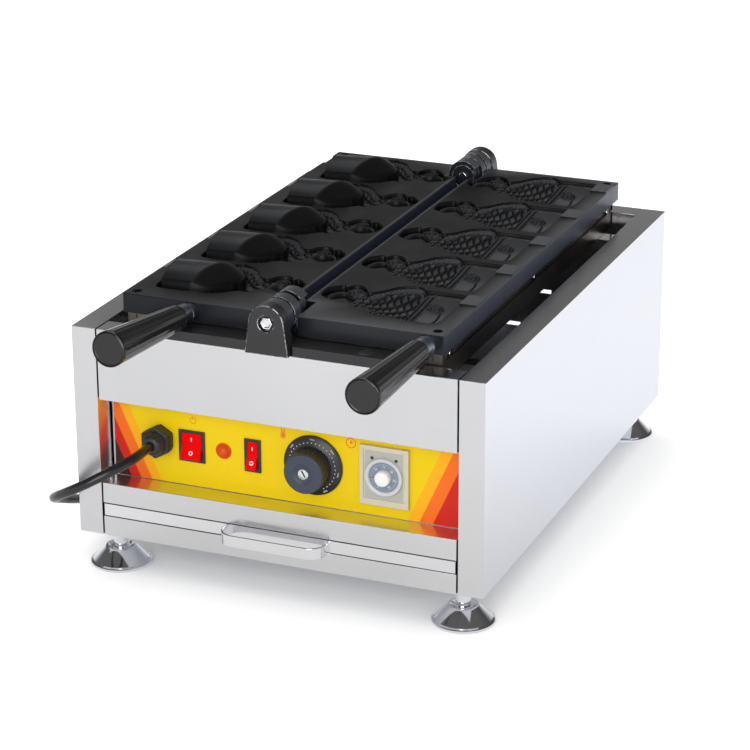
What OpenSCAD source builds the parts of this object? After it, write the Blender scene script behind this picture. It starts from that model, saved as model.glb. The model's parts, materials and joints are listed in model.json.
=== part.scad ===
// Taiyaki maker for open-mouthed fish cakes: a stainless steel body on four cone feet
// carries two cast plates of five moulds that fold about one hinge line.
// X runs to the right, Y to the back and Z up. The origin is on the floor, under the
// middle of the object without its mains lead.

/* [Body] */
// Width of the sheet body
body_w = 400; // [380:1:420]
// Depth of the sheet body
body_d = 536; // [520:1:560]
// Height of the sheet body without its feet
body_h = 203; // [195:1:215]
// Thickness of the stainless sheet
sheet_t = 1.2; // [0.8:0.1:1.5]
// Width of the folded borders at the front, top and back
flange_w = 24; // [22:1:26]
// Depth of the turned-down edge inside each top border
lip_h = 12; // [8:1:16]
// Gap between a side panel's border and the front panels
front_gap = 1.5; // [1:0.1:2]
// Small gap between sheets that only lie beside each other
sheet_gap = 0.3; // [0.2:0.1:0.5]

/* [Front panels] */
// Height of the bottom rail under the drawer
rail_h = 19.3; // [16:0.1:22]
// Height of the slot that the drawer front fills
slot_h = 13.3; // [12:0.1:14]
// Height of the ledge strip over the drawer
ledge_h = 20; // [18:0.5:24]
// Height of the recess with the controls
recess_h = 82; // [80:1:86]
// Depth of the returns behind the rail and the ledge strip
return_d = 17; // [14:1:18]
// Thickness of the coloured label film
label_t = 0.4; // [0.3:0.1:0.6]
// Margin of the label inside the recess
label_margin = 2; // [1:0.5:4]

/* [Feet] */
// Height of a foot under the body
foot_h = 37; // [34:1:42]
// Radius of a foot's disc
foot_r = 29; // [26:0.5:32]
// Thickness of the disc's edge
foot_rim = 3; // [2:0.5:4]
// Radius of the ring on top of the cone
foot_top_r = 13.7; // [12:0.1:15]
// Height of the cone's top ring over the floor
foot_cone_h = 17; // [15:0.5:20]
// Radius of the foot's threaded stem
foot_stem_r = 7; // [6:0.5:8]
// Length of the stem inside the body
foot_stem_in = 20; // [16:1:20]
// Distance of a foot's middle from the body's side
foot_inset_x = 28; // [27:1:31]
// Distance of a foot's middle from the body's front or back
foot_inset_y = 26; // [24:1:34]
// Height of the threaded bush that takes a stem
bush_h = 8; // [6:1:10]
// Radius of the bush
bush_r = 12; // [10:0.5:13]

/* [Hinge] */
// Distance of the hinge line from the body's middle, to the left
hinge_shift = 3; // [0:0.1:4]
// Height of the plates' upper faces over the body's top
face_rise = 29; // [27:0.5:34]
// Half the play between the two closed plates
face_play = 0.3; // [0.2:0.05:0.5]
// Radius of the rounded top of an ear
ear_r = 17; // [16.5:0.1:18]
// Width of an ear's base
ear_base = 42; // [38:1:46]
// Thickness of an ear
ear_t = 14; // [12:0.5:16]
// Distance by which an ear stands proud of the body
ear_proud = 6; // [4:0.5:8]
// Radius of the hinge pins
pin_r = 4; // [3.5:0.1:4.5]
// Width across the flats of a pin's hexagon head
pin_head_af = 10; // [9:0.5:11]
// Radius of the recess that holds a pin's head
pin_recess_r = 7.5; // [7:0.1:8]
// Depth of that recess
pin_recess_d = 4.5; // [3.5:0.5:6]
// Radius of the knuckles
knuckle_r = 16; // [15:0.1:16.3]
// Radius of the journal that the hook runs on
journal_r = 11.5; // [10:0.1:12]
// Running clearance of each pin and journal, on the radius
run_play = 0.05; // [0.02:0.01:0.09]
// Gap between parts that turn beside each other
side_play = 0.6; // [0.4:0.1:1]
// Length of the front knuckle
front_knuckle_l = 27; // [25:0.5:28]
// Length of each hook along the hinge line
hook_l = 15; // [12:0.5:17]
// Gap between the knuckle and the hook
hook_gap = 6; // [2:0.5:7]
// Length of the rear knuckle
rear_knuckle_l = 26; // [24:0.5:27]
// Width of the black hinge bars
bar_w = 23.4; // [20:0.2:23.4]
// Thickness of the hinge bars
bar_t = 9; // [8:0.1:9.3]
// Length of the hinge bars
bar_l = 266; // [220:1:300]
// Radius of a bar screw's countersunk head
bar_screw_r = 7; // [5:0.5:8]
// Distance of a bar screw from the middle of the bar
bar_screw_x = 88; // [70:1:105]

/* [Mould plates] */
// Width of a plate
plate_w = 149.5; // [146:0.5:150]
// Thickness of a plate's rim
plate_t = 18; // [17:0.5:18.5]
// Gap between the two open plates
plate_gap = 13.4; // [12:0.2:15]
// Distance of the plates' front edge from the body's front
plate_y = 24; // [23:0.5:26]
// Distance of the plates' rear edge from the body's back
plate_rear = 12; // [11:0.5:14]
// Length of the corner notches that the knuckles turn in
notch_l = 42; // [41:0.5:46]
// Thickness of the pad under the moulds
pad_t = 8; // [6:0.5:9]
// Least distance between the middles of two moulds
mould_pitch_min = 93; // [92:0.5:94]
// Distance of the first mould's middle from the plate's front edge
mould_first = 69; // [64:1:72]
// Distance of the last mould's middle from the plate's rear edge
mould_last = 55; // [52:1:58]
// Depth of a mould at its edge
edge_depth = 3.5; // [2.5:0.5:4]
// Greatest depth of a mould
mould_depth = 20; // [18:0.5:21]
// Height over the plate of the line that the hollow's curve turns about
hollow_rise = 25; // [22:1:30]
// Height of the raised tongue outside each mouth
tongue_h = 1.7; // [1:0.1:2]
// Height of the core that keeps a fish's mouth open
core_h = 15.5; // [13:0.5:16]
// Radius of the core
core_r = 32; // [28:0.5:33]
// Thickness of the core under the plate's face
core_root = 7; // [5:0.5:9]
// Radius of the locating holes in the corners
locate_r = 4.5; // [3:0.5:5]
// Depth of the locating holes
locate_d = 10; // [6:1:12]

/* [Heater boxes] */
// Depth of a heater box under its plate
box_h = 27; // [25:0.5:28]
// Thickness of a heater box's sheet
box_t = 1; // [0.8:0.1:1.2]
// Distance of a box from its plate's long edges
box_inset = 3.3; // [3:0.1:5]
// Radius of the heating tubes
tube_r = 3.3; // [2.5:0.1:4]
// Distance between two runs of heating tube
tube_pitch = 30; // [24:1:34]
// Distance of the first run of tube from the hinge line
tube_u = 36; // [30:1:40]
// Distance of the straight runs from the plate's ends
tube_end = 60; // [50:1:80]
// Radius of a box screw's head
box_screw_r = 3.5; // [3:0.1:4]
// Height of a box screw's head
box_screw_h = 2.2; // [1.5:0.1:2.5]
// Distance of the first box screw from the plate's front edge
box_screw_first = 19; // [16:1:24]
// Distance of the last box screw from the plate's rear edge
box_screw_last = 33; // [28:1:40]

/* [Handles] */
// Distance of the left handle from the hinge line
left_handle_u = 87.8; // [84:0.2:92]
// Outward turn of the left handle in degrees
left_splay = 3.5; // [2:0.5:5]
// Upward tilt of the left handle in degrees
left_tilt = 4.2; // [3:0.1:5]
// Distance of the right handle from the hinge line
right_handle_u = 141.4; // [139:0.1:145]
// Inward turn of the right handle in degrees
right_splay = 1.3; // [0:0.1:3]
// Upward tilt of the right handle in degrees
right_tilt = 0.5; // [0:0.1:1]
// Radius of the boss that a handle's collar is screwed to
boss_r = 8.4; // [7:0.1:9]
// Length of the boss
boss_l = 9; // [6:1:12]
// Radius of the collar
collar_r = 9.8; // [9.2:0.1:10]
// Length of the collar
collar_l = 16; // [12:1:20]
// Radius of the rod inside the grip
rod_r = 5; // [4:0.5:6]
// Length of the grip
grip_l = 117; // [110:1:122]
// Radius of the grip beside the collar
grip_r1 = 11.6; // [11:0.1:12]
// Radius of the grip at its outer end
grip_r2 = 16.1; // [14:0.1:16.5]
// Thickness of the disc that closes the grip
grip_cap_t = 4; // [3:0.5:6]
// Width of the grip's rim round that disc
grip_rim = 1.4; // [1:0.1:2]

/* [Controls] */
// Height of the controls' middle over the body's bottom
control_z = 92.5; // [91:0.5:94]
// Height of the cable gland's middle over the body's bottom
gland_z = 95.5; // [94:0.5:97]
// Distance of the cable gland's middle from the body's left side
gland_side = 75.5; // [70:0.5:80]
// Width across the flats of the gland's nut
gland_af = 27; // [24:0.5:28]
// Length of the gland in front of the panel
gland_l = 24; // [20:0.5:26]
// Diameter of the mains lead
cord_d = 9; // [9:1:9]
// Distance of the power switch's middle from the body's left side
power_side = 107.3; // [104:0.1:109]
// Width of the power switch's frame
power_w = 26; // [24:0.5:28]
// Height of the power switch's frame
power_h = 30.4; // [28:0.2:32]
// Distance of the pilot lamp's middle from the body's left side
lamp_side = 139; // [136:0.5:142]
// Radius of the pilot lamp
lamp_r = 7.6; // [6.5:0.1:8.5]
// Distance of the alarm switch's middle from the body's left side
alarm_side = 168.4; // [166:0.1:172]
// Width of the alarm switch's frame
alarm_w = 16; // [15:0.5:18]
// Height of the alarm switch's frame
alarm_h = 31.6; // [29:0.2:33]
// Thickness of the switches' frames in front of the label
switch_rim = 2; // [1.5:0.1:2.5]
// Tilt of a rocker from its middle in degrees
rocker_tilt = 11; // [9:0.5:12]
// Distance of the temperature dial's middle from the body's right side
dial_side = 171.7; // [170:0.1:174]
// Radius of the dial's skirt
dial_r = 28.7; // [26:0.1:30]
// Thickness of the dial's skirt
skirt_t = 3; // [2:0.5:4]
// Radius of the dial's grip
dial_grip_r = 19.8; // [18:0.1:21]
// Length of the dial in front of the label
dial_l = 24.6; // [20:0.1:26]
// Distance of the timer's middle from the body's right side
timer_side = 102.2; // [98:0.1:106]
// Width of the timer's frame
timer_w = 47; // [45:0.5:50]
// Height of the timer's frame
timer_h = 57; // [54:0.5:60]
// Thickness of the timer's frame in front of the label
timer_rim = 4; // [3:0.5:5]
// Radius of the timer's dial ring
timer_ring_r = 14.5; // [12:0.1:16]
// Length of the timer's knob
timer_knob_l = 9; // [6:0.5:11]
// Depth of the timer's housing behind its frame
timer_body_d = 56; // [40:1:60]

/* [Drawer] */
// Distance of the crumb tray from the body's side
tray_side = 45; // [44:1:55]
// Distance of the crumb tray from the body's back
tray_rear = 106; // [96:1:150]
// Thickness of the tray's sheet
tray_t = 1; // [0.8:0.1:1.2]
// Width of the bent strip handle
pull_w = 103; // [90:1:120]
// Distance by which the strip handle stands out
pull_d = 18; // [16:0.5:22]
// Height of the strip
pull_h = 11; // [9:0.5:12]
// Thickness of the strip
pull_t = 1.5; // [1.2:0.1:2]
// Radius of the strip's bends
pull_r = 15; // [10:0.5:16]

/* [Inside] */
// Depth of the box behind the controls
bay_d = 96; // [90:1:110]
// Width of the rails that the heater boxes rest on
rest_w = 20; // [15:1:30]
// Distance of the front rest rail's middle from the body's front
rest_front = 70; // [50:1:90]
// Distance of the rear rest rail's middle from the body's back
rest_rear = 56; // [50:1:61]
// Height of the gap between the box behind the controls and the heater boxes
bay_gap = 10; // [8:0.5:14]
// Height by which the rear rest rail reaches under that box's roof
rest_drop = 6; // [4:0.5:8]
// Width of the contactor
contactor_w = 48; // [40:1:50]
// Depth of the contactor
contactor_d = 56; // [50:1:60]
// Height of the contactor
contactor_h = 60; // [50:1:70]
// Distance of the contactor's middle from the body's left side
contactor_x = 80; // [60:1:84]
// Height of the contactor over the floor of its box
contactor_z = 40; // [30:1:50]
// Width of the terminal block
terminal_w = 70; // [60:1:80]
// Depth of the terminal block
terminal_d = 24; // [20:1:30]
// Height of the terminal block
terminal_h = 18; // [14:1:22]
// Distance of the terminal block's middle from the body's left side
terminal_x = 130; // [110:1:150]
// Gap behind the terminal block
terminal_back = 21; // [16:1:30]
// Radius of the buzzer
buzzer_r = 16; // [12:0.5:18]
// Length of the buzzer
buzzer_l = 14; // [10:1:18]
// Distance of the buzzer's middle from the body's right side
buzzer_x = 50; // [40:1:58]
// Height of the buzzer's middle over the floor of its box
buzzer_z = 60; // [50:1:80]

/* [Hidden] */
$fn = 64;

// Colours of the finishes
steel = [0.80, 0.80, 0.82];
bright = [0.88, 0.88, 0.90];
iron = [0.21, 0.21, 0.22];
cast = [0.24, 0.245, 0.25];
plastic = [0.13, 0.13, 0.14];
red = [0.80, 0.03, 0.03];
yellow = [0.95, 0.80, 0.08];
cream = [0.90, 0.86, 0.76];

// Places that follow from the sizes. Heights are over the floor, depths behind the front.
half_w = body_w / 2;
top_z = foot_h + body_h;
inner_w = half_w - sheet_t;
front_half = half_w - flange_w - front_gap;
slot_z = foot_h + rail_h;
strip_z = slot_z + slot_h;
ledge_z = strip_z + ledge_h;
recess_top = ledge_z + recess_h;
panel_y = flange_w;
label_y = panel_y - label_t;
ctrl_z = foot_h + control_z;
gland_mid_z = foot_h + gland_z;
gland_x = gland_side - half_w;
power_x = power_side - half_w;
lamp_x = lamp_side - half_w;
alarm_x = alarm_side - half_w;
dial_x = half_w - dial_side;
timer_x = half_w - timer_side;
hinge_x = -hinge_shift;
face_z = top_z + face_rise;
hinge_z = face_z + face_play;
plate_u = plate_gap / 2;
plate_out = plate_u + plate_w;
plate_back = body_d - plate_rear;
plate_l = plate_back - plate_y;
mould_run = plate_l - mould_first - mould_last;
moulds = floor(mould_run / mould_pitch_min) + 1;
mould_pitch = mould_run / (moulds - 1);
box_screw_pitch = (plate_l - box_screw_first - box_screw_last) / 2;
notch_u = knuckle_r + 1;
ear_back = body_d + ear_proud - ear_t;
knuckle_y = ear_t - ear_proud + side_play;
hook_y = knuckle_y + front_knuckle_l + hook_gap;
rear_knuckle_y = ear_back - side_play - rear_knuckle_l;
rear_hook_y = rear_knuckle_y - 1 - hook_l;
bay_back = panel_y + bay_d;
bay_top = face_z - plate_t - box_h - bay_gap;
bay_floor = strip_z + 1;
box_z = face_z - plate_t - box_h;
rest_play = 0.3;
tray_half = half_w - tray_side;
tray_d = body_d - tray_rear;
over = 1;

grip_from = boss_l + collar_l;

// The handles reach furthest to the front, and the rear ear to the back
function reach(splay, tilt) = let (c = cos(splay) * cos(tilt))
    (grip_from + grip_l) * c + grip_r2 * sqrt(1 - c * c);
front_reach = max(reach(left_splay, left_tilt), reach(right_splay, right_tilt)) - plate_y;
frame_y = (front_reach - body_d - ear_proud) / 2;

module place() translate([0, frame_y, 0]) children();

module slab(x0, x1, y0, y1, z0, z1)
    translate([x0, y0, z0]) cube([x1 - x0, y1 - y0, z1 - z0]);

// A round bar along Y
module bar_y(r, y0, y1)
    translate([0, y0, 0]) rotate([-90, 0, 0]) cylinder(r = r, h = y1 - y0);

// A round bar along X
module bar_x(r, x0, x1)
    translate([x0, 0, 0]) rotate([0, 90, 0]) cylinder(r = r, h = x1 - x0);

// The side views here are polygons of [y, z], drawn out along X
module along_x(x0, x1)
    translate([x0, 0, 0]) rotate([90, 0, 90]) linear_extrude(x1 - x0) children();

// Front views are polygons of [x, z], drawn out along Y
module along_y(y0, y1)
    translate([0, y1, 0]) rotate([90, 0, 0]) linear_extrude(y1 - y0) children();

// Half of the object about the hinge line: side 1 is the right half, -1 the left.
// Inside, X counts outwards from the hinge line and Z from its height.
module hinge_half(side)
    translate([hinge_x, 0, hinge_z]) mirror([side < 0 ? 1 : 0, 0, 0]) children();

module both_sides() {
    children();
    mirror([1, 0, 0]) children();
}

/* The sheet body */

module side_panel() color(steel) place() {
    slab(-half_w, -inner_w, 0, body_d, foot_h, top_z);
    slab(-inner_w, flange_w - half_w, 0, sheet_t, foot_h, top_z);
    slab(flange_w - sheet_t - half_w, flange_w - half_w, sheet_t, panel_y, bay_floor, top_z);
    slab(-inner_w, flange_w - half_w, sheet_t, body_d, top_z - sheet_t, top_z);
    slab(flange_w - sheet_t - half_w, flange_w - half_w, panel_y, body_d,
        top_z - lip_h, top_z - sheet_t);
    slab(-inner_w, flange_w - half_w, body_d - sheet_t, body_d, foot_h, top_z - sheet_t);
}

module left_side_panel() side_panel();
module right_side_panel() mirror([1, 0, 0]) side_panel();

module front_upper_panel() color(steel) place() {
    slab(-front_half, front_half, 0, sheet_t, recess_top, top_z);
    slab(-front_half, front_half, sheet_t, flange_w, top_z - sheet_t, top_z);
    slab(-front_half, front_half, flange_w - sheet_t, flange_w, top_z - lip_h,
        top_z - sheet_t);
}

// Cut-outs that the controls pass through, wider than their necks by the play
module control_cuts(play) {
    translate([gland_x, gland_mid_z]) circle(r = 10 + play);
    translate([lamp_x, ctrl_z]) circle(r = lamp_r - 1.6 + play);
    translate([dial_x, ctrl_z]) circle(r = 5 + play);
    translate([power_x, ctrl_z])
        square([power_w - 4 + 2 * play, power_h - 3 + 2 * play], center = true);
    translate([alarm_x, ctrl_z])
        square([alarm_w - 4 + 2 * play, alarm_h - 3 + 2 * play], center = true);
    translate([timer_x, ctrl_z])
        square([timer_w - 5 + 2 * play, timer_h - 5 + 2 * play], center = true);
}

module control_panel() color(steel) place() {
    difference() {
        slab(-front_half, front_half, panel_y, panel_y + sheet_t, bay_floor,
            recess_top + sheet_t);
        along_y(panel_y - over, panel_y + sheet_t + over) control_cuts(0.2);
    }
    slab(-front_half, front_half, sheet_t, panel_y, recess_top, recess_top + sheet_t);
}

module control_label() color(yellow) place() difference() {
    slab(label_margin - front_half, front_half - label_margin, label_y, panel_y,
        ledge_z + 0.5, recess_top - 0.5);
    along_y(label_y - over, panel_y + over) control_cuts(0.2);
}

module front_ledge() color(steel) place() {
    slab(-front_half, front_half, 0, sheet_t, strip_z, ledge_z);
    slab(-front_half, front_half, sheet_t, panel_y, ledge_z - sheet_t, ledge_z);
    slab(-front_half, front_half, sheet_t, return_d, strip_z, strip_z + 0.8);
}

module bottom_rail() color(steel) place() {
    slab(-front_half, front_half, 0, sheet_t, foot_h, slot_z);
    slab(-front_half, front_half, sheet_t, return_d, slot_z - sheet_t, slot_z);
}

// Vent slots lie in two rows across the back
module rear_panel() color(steel) place() {
    difference() {
        slab(sheet_gap - half_w + flange_w, half_w - flange_w - sheet_gap,
            body_d - sheet_t, body_d, foot_h, top_z);
        for (row = [0, 1], i = [-4 : 4])
            translate([i * 34, body_d, foot_h + 60 + row * 40])
                slab(-11, 11, -sheet_t - over, over, -2, 2);
    }
    slab(sheet_gap - half_w + flange_w, half_w - flange_w - sheet_gap,
        body_d - flange_w, body_d - sheet_t, top_z - sheet_t, top_z);
    slab(sheet_gap - half_w + flange_w, half_w - flange_w - sheet_gap,
        body_d - flange_w, body_d - flange_w + sheet_t, top_z - lip_h, top_z - sheet_t);
}

foot_x = half_w - foot_inset_x;
foot_ys = [foot_inset_y, body_d - foot_inset_y];

module bottom_panel() color(steel) place() difference() {
    slab(-inner_w, inner_w, sheet_t, body_d - sheet_t, foot_h, foot_h + sheet_t);
    for (x = [-foot_x, foot_x], y = foot_ys)
        translate([x, y, foot_h - over]) cylinder(r = foot_stem_r + 1.5, h = 2 * over + sheet_t);
    for (i = [-4 : 4], row = [-1, 1])
        translate([i * 28, body_d / 2 + row * 90, foot_h])
            slab(-2.5, 2.5, -40, 40, -over, sheet_t + over);
}

// One folded sheet makes the floor, back and roof of the bay behind the controls
module bay_partition() color(steel) place()
    along_x(-inner_w + sheet_gap, inner_w - sheet_gap)
        polygon([[panel_y + sheet_t, bay_floor], [bay_back, bay_floor],
            [bay_back, bay_top], [panel_y + sheet_t, bay_top],
            [panel_y + sheet_t, bay_top - sheet_t],
            [bay_back - sheet_t, bay_top - sheet_t],
            [bay_back - sheet_t, bay_floor + sheet_t],
            [panel_y + sheet_t, bay_floor + sheet_t]]);

// The heater boxes rest on two channels when the plates lie open
module rest_channel(y, z0)
    along_x(-inner_w, inner_w) translate([y - rest_w / 2, 0])
        polygon([[0, z0], [sheet_t, z0], [sheet_t, box_z - rest_play - sheet_t],
            [rest_w - sheet_t, box_z - rest_play - sheet_t], [rest_w - sheet_t, z0],
            [rest_w, z0], [rest_w, box_z - rest_play], [0, box_z - rest_play]]);

module plate_rests() color(steel) place() {
    rest_channel(rest_front, bay_top);
    rest_channel(body_d - rest_rear, bay_top - rest_drop);
}

/* Feet */

// The cone's profile: a flat rim, a straight flank and a rounded lip round a hollow
module foot(x, y) color(bright) place() translate([x, y, 0]) {
    rotate_extrude() polygon([[0, 0], [foot_r - 1, 0], [foot_r, 1], [foot_r, foot_rim],
        [foot_top_r + 1.2, foot_cone_h - 1], [foot_top_r, foot_cone_h],
        [foot_top_r - 2, foot_cone_h - 0.6], [foot_stem_r + 2, foot_cone_h - 4],
        [foot_stem_r + 2, foot_cone_h - 1], [foot_stem_r, foot_cone_h - 1],
        [foot_stem_r, foot_h + sheet_t + foot_stem_in],
        [0, foot_h + sheet_t + foot_stem_in]]);
}

module foot_front_left() foot(-foot_x, foot_ys[0]);
module foot_front_right() foot(foot_x, foot_ys[0]);
module foot_rear_left() foot(-foot_x, foot_ys[1]);
module foot_rear_right() foot(foot_x, foot_ys[1]);

module foot_bushes() color(bright) place()
    for (x = [-foot_x, foot_x], y = foot_ys)
        translate([x, y, foot_h + sheet_t]) difference() {
            cylinder(r = bush_r, h = bush_h);
            translate([0, 0, -over]) cylinder(r = foot_stem_r + run_play, h = bush_h + 2 * over);
        }

/* Hinge */

// Bars are slotted round the ear's base
module hinge_bar(y0, notch_y) difference() {
    slab(hinge_x - bar_l / 2, hinge_x + bar_l / 2, y0, y0 + bar_w, top_z, top_z + bar_t);
    slab(hinge_x - ear_base / 2 - 1.5, hinge_x + ear_base / 2 + 1.5, notch_y,
        notch_y + ear_t + over, top_z - over, top_z + bar_t + over);
    for (s = [-1, 1])
        translate([hinge_x + s * bar_screw_x, y0 + bar_w / 2, top_z]) bar_screw(0.05);
}

// A countersunk screw, its head flush with the bar
module bar_screw(play) {
    translate([0, 0, -5]) cylinder(r = 3 + play, h = bar_t + 4);
    translate([0, 0, bar_t - 4]) cylinder(r1 = 3 + play, r2 = bar_screw_r + play, h = 3);
    translate([0, 0, bar_t - 1]) cylinder(r = bar_screw_r + play, h = 1 + play);
}

module hinge_bars() color(iron) place() {
    hinge_bar(0, -ear_proud - over);
    hinge_bar(body_d - bar_w, ear_back - 0.3);
}

module hinge_bar_screws() color([0.35, 0.35, 0.36]) place()
    for (s = [-1, 1], y = [bar_w / 2, body_d - bar_w / 2])
        translate([hinge_x + s * bar_screw_x, y, top_z]) intersection() {
            bar_screw(0);
            translate([0, 0, 0.01]) cylinder(r = 20, h = bar_t);
        }

// The flanks of an ear touch the round top: the touching point follows from the base
ear_drop = hinge_z - top_z;
ear_touch = acos(ear_r / norm([ear_base / 2, ear_drop])) - atan2(ear_drop, ear_base / 2);

module ear(y0) translate([hinge_x, 0, hinge_z]) difference() {
    union() {
        bar_y(ear_r, y0, y0 + ear_t);
        along_y(y0, y0 + ear_t) polygon([[-ear_base / 2, -ear_drop],
            [ear_base / 2, -ear_drop], [ear_r * cos(ear_touch), ear_r * sin(ear_touch)],
            [-ear_r * cos(ear_touch), ear_r * sin(ear_touch)]]);
    }
    bar_y(pin_r + 0.02, y0 - over, y0 + ear_t + over);
}

module hinge_ears() color(cast) place() {
    difference() {
        ear(-ear_proud);
        translate([hinge_x, 0, hinge_z])
            bar_y(pin_recess_r, -ear_proud - over, pin_recess_d - ear_proud);
    }
    difference() {
        ear(ear_back);
        translate([hinge_x, 0, hinge_z]) bar_y(pin_recess_r,
            body_d + ear_proud - pin_recess_d, body_d + ear_proud + over);
    }
}

// Each pin is a hexagon bolt that runs from its ear to past the hook
module hinge_pins() color(bright) place() translate([hinge_x, 0, hinge_z]) {
    bar_y(pin_r, pin_recess_d - ear_proud, hook_y + hook_l + 2);
    translate([0, pin_recess_d - ear_proud, 0]) rotate([90, 0, 0])
        cylinder(r = pin_head_af / sqrt(3), h = pin_recess_d - 1, $fn = 6);
    bar_y(pin_r, rear_hook_y - 2, body_d + ear_proud - pin_recess_d);
    translate([0, body_d + ear_proud - 1, 0]) rotate([90, 0, 0])
        cylinder(r = pin_head_af / sqrt(3), h = pin_recess_d - 1, $fn = 6);
}

// A knuckle has two rings with a groove between them
module knuckle(y0, l) {
    bar_y(knuckle_r, y0, y0 + l * 0.42);
    bar_y(knuckle_r - 2, y0, y0 + l);
    bar_y(knuckle_r, y0 + l * 0.52, y0 + l);
}

// The web joins a knuckle or a hook to the wall of its plate's notch
web_low = knuckle_r - 3;

module knuckle_web(y0, y1, inner)
    slab(inner, notch_u, y0, y1, -web_low, -face_play - 1);

module right_hinge_knuckles() color(cast) place() hinge_half(1) {
    difference() {
        union() {
            knuckle(knuckle_y, front_knuckle_l);
            bar_y(journal_r, knuckle_y, hook_y + hook_l);
            knuckle_web(plate_y, knuckle_y + front_knuckle_l, 0);
        }
        bar_y(pin_r + run_play, knuckle_y - over, hook_y + hook_l + over);
    }
    difference() {
        union() {
            knuckle(rear_knuckle_y, rear_knuckle_l);
            bar_y(journal_r, rear_hook_y, rear_knuckle_y + over);
            knuckle_web(rear_knuckle_y, plate_back, 0);
        }
        bar_y(pin_r + run_play, rear_hook_y - over, ear_back);
    }
}

// A hook is a ring over the journal, open towards the bottom of the other side
module hook(y0) difference() {
    union() {
        bar_y(knuckle_r, y0, y0 + hook_l);
        knuckle_web(y0, y0 + hook_l, 0);
    }
    bar_y(journal_r + run_play, y0 - over, y0 + hook_l + over);
    rotate([0, 35, 0]) slab(-30, 0, y0 - over, y0 + hook_l + over, -30, 0);
    slab(-30, 0, y0 - over, y0 + hook_l + over, -30, -journal_r * 0.57);
}

module left_hinge_hooks() color(cast) place() hinge_half(-1) {
    hook(hook_y);
    hook(rear_hook_y);
}

/* Mould plates */

// Outline of the fish, from the hinge outwards and to the back, tail first
fish = [[12, -4], [11, 12], [17, 21], [23, 25], [27, 21], [31, 28], [38, 29], [45, 24],
    [51, 15], [61, 23], [70, 37], [81, 44], [88, 46], [94, 43], [98, 39], [119, 39],
    [138.5, 38], [138.5, -30], [134, -42], [107, -43], [98, -40], [85, -42], [74, -38],
    [69, -32], [60, -25], [52, -26], [45, -18], [37, -9], [27, -15], [18, -11]];
mouth_u = 138.5;
mouth_v = [12, 38];
tongue_play = 0.6;
hollow_mid = 120;
hollow_l = 78;
core_v = -3;
core_end = mouth_u - 2;
core_nose = 62;
core_shoulder = 100;
eye = [122, -9];
gill_r = 150;
gill_u = [104, 111];

function mould_y(k) = plate_y + mould_first + k * mould_pitch;
function hollow_depth(u) = mould_depth * (1 - pow((hollow_mid - u) / hollow_l, 2));

// Solid of revolution about a line along the fish, over the plate's face
module hollow(less)
    translate([0, 0, hollow_rise - face_play]) rotate([0, 90, 0])
        rotate_extrude() polygon(concat([[0, mouth_u + 2], [0, hollow_mid - hollow_l]],
            [for (i = [0 : 10]) let (u = hollow_mid - hollow_l
                + i * (mouth_u + 2 - hollow_mid + hollow_l) / 10)
                [hollow_rise + hollow_depth(u) - less, u]]));

module ring_wall(r, u)
    translate([u + r, 0, -30]) difference() {
        cylinder(r = r + 0.8, h = 40, $fn = 180);
        translate([0, 0, -over]) cylinder(r = r - 0.8, h = 42, $fn = 180);
    }

// What is cut out of a plate for one fish, with the gill lines and the eye left standing
module mould() {
    difference() {
        intersection() {
            translate([0, 0, -face_play - mould_depth - 1])
                linear_extrude(mould_depth + 1 + over) polygon(fish);
            union() {
                hollow(0);
                slab(0, 150, -60, 60, -face_play - edge_depth, over);
            }
        }
        intersection() {
            union() {
                for (u = gill_u) ring_wall(gill_r, u);
                translate([eye[0], eye[1], -30]) difference() {
                    cylinder(r = 5.5, h = 25);
                    translate([0, 0, -over]) cylinder(r = 3.8, h = 27);
                }
                translate([eye[0], eye[1], -30]) cylinder(r = 2, h = 25);
            }
            difference() {
                slab(90, 138, -60, 60, -30, -face_play - edge_depth);
                hollow(1.2);
            }
        }
    }
}

module plate_blank() {
    difference() {
        slab(plate_u, plate_out, plate_y, plate_back, -face_play - plate_t, -face_play);
        slab(0, notch_u, plate_y - over, plate_y + notch_l, -40, over);
        slab(0, notch_u, plate_back - notch_l, plate_back + over, -40, over);
        for (y = [plate_y + 10, plate_back - 10])
            translate([plate_out - 10, y, -face_play - locate_d])
                cylinder(r = locate_r, h = locate_d + over);
    }
    slab(plate_u + box_inset + box_t + 8, plate_out - box_inset - box_t,
        plate_y + notch_l + 2, plate_back - notch_l - 2,
        -face_play - plate_t - pad_t, -face_play - plate_t);
    slab(notch_u + 2, plate_out - box_inset - box_t, plate_y + 5, plate_back - 20,
        -face_play - plate_t - pad_t, -face_play - plate_t);
}

// Tapped holes that the box screws turn into
module box_screw_holes() {
    for (i = [0 : 2])
        translate([0, plate_y + box_screw_first + i * box_screw_pitch,
            -face_play - plate_t - pad_t / 2]) {
            bar_x(2, plate_out - box_inset - 12, plate_out);
            if (i == 1) bar_x(2, plate_u + box_inset - over, plate_u + box_inset + 16);
        }
}

module right_plate() color(cast) place() hinge_half(1) {
    difference() {
        plate_blank();
        for (k = [0 : moulds - 1]) translate([0, mould_y(k), 0]) mould();
        box_screw_holes();
    }
    for (k = [0 : moulds - 1])
        slab(mouth_u, plate_out, mould_y(k) + mouth_v[0], mould_y(k) + mouth_v[1],
            -face_play, -face_play + tongue_h);
}

// The core is a half-sunk bullet that grows out of the mould's outer wall
function core_radius(u) = u >= core_shoulder
    ? core_r - (core_end - u) * 0.055
    : (core_r - (core_end - core_shoulder) * 0.055)
        * sqrt(max(0, 1 - pow((core_shoulder - u) / (core_shoulder - core_nose), 2)));

module core_body(end)
    translate([0, core_v, core_h - core_r - face_play]) rotate([0, 90, 0])
        rotate_extrude() polygon(concat([[0, end], [0, core_nose]],
            [for (i = [1 : 8]) let (u = core_nose
                + (core_shoulder - core_nose) * (1 - cos(i * 90 / 8)))
                [core_radius(u), u]], [[core_radius(end), end]]));

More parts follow.
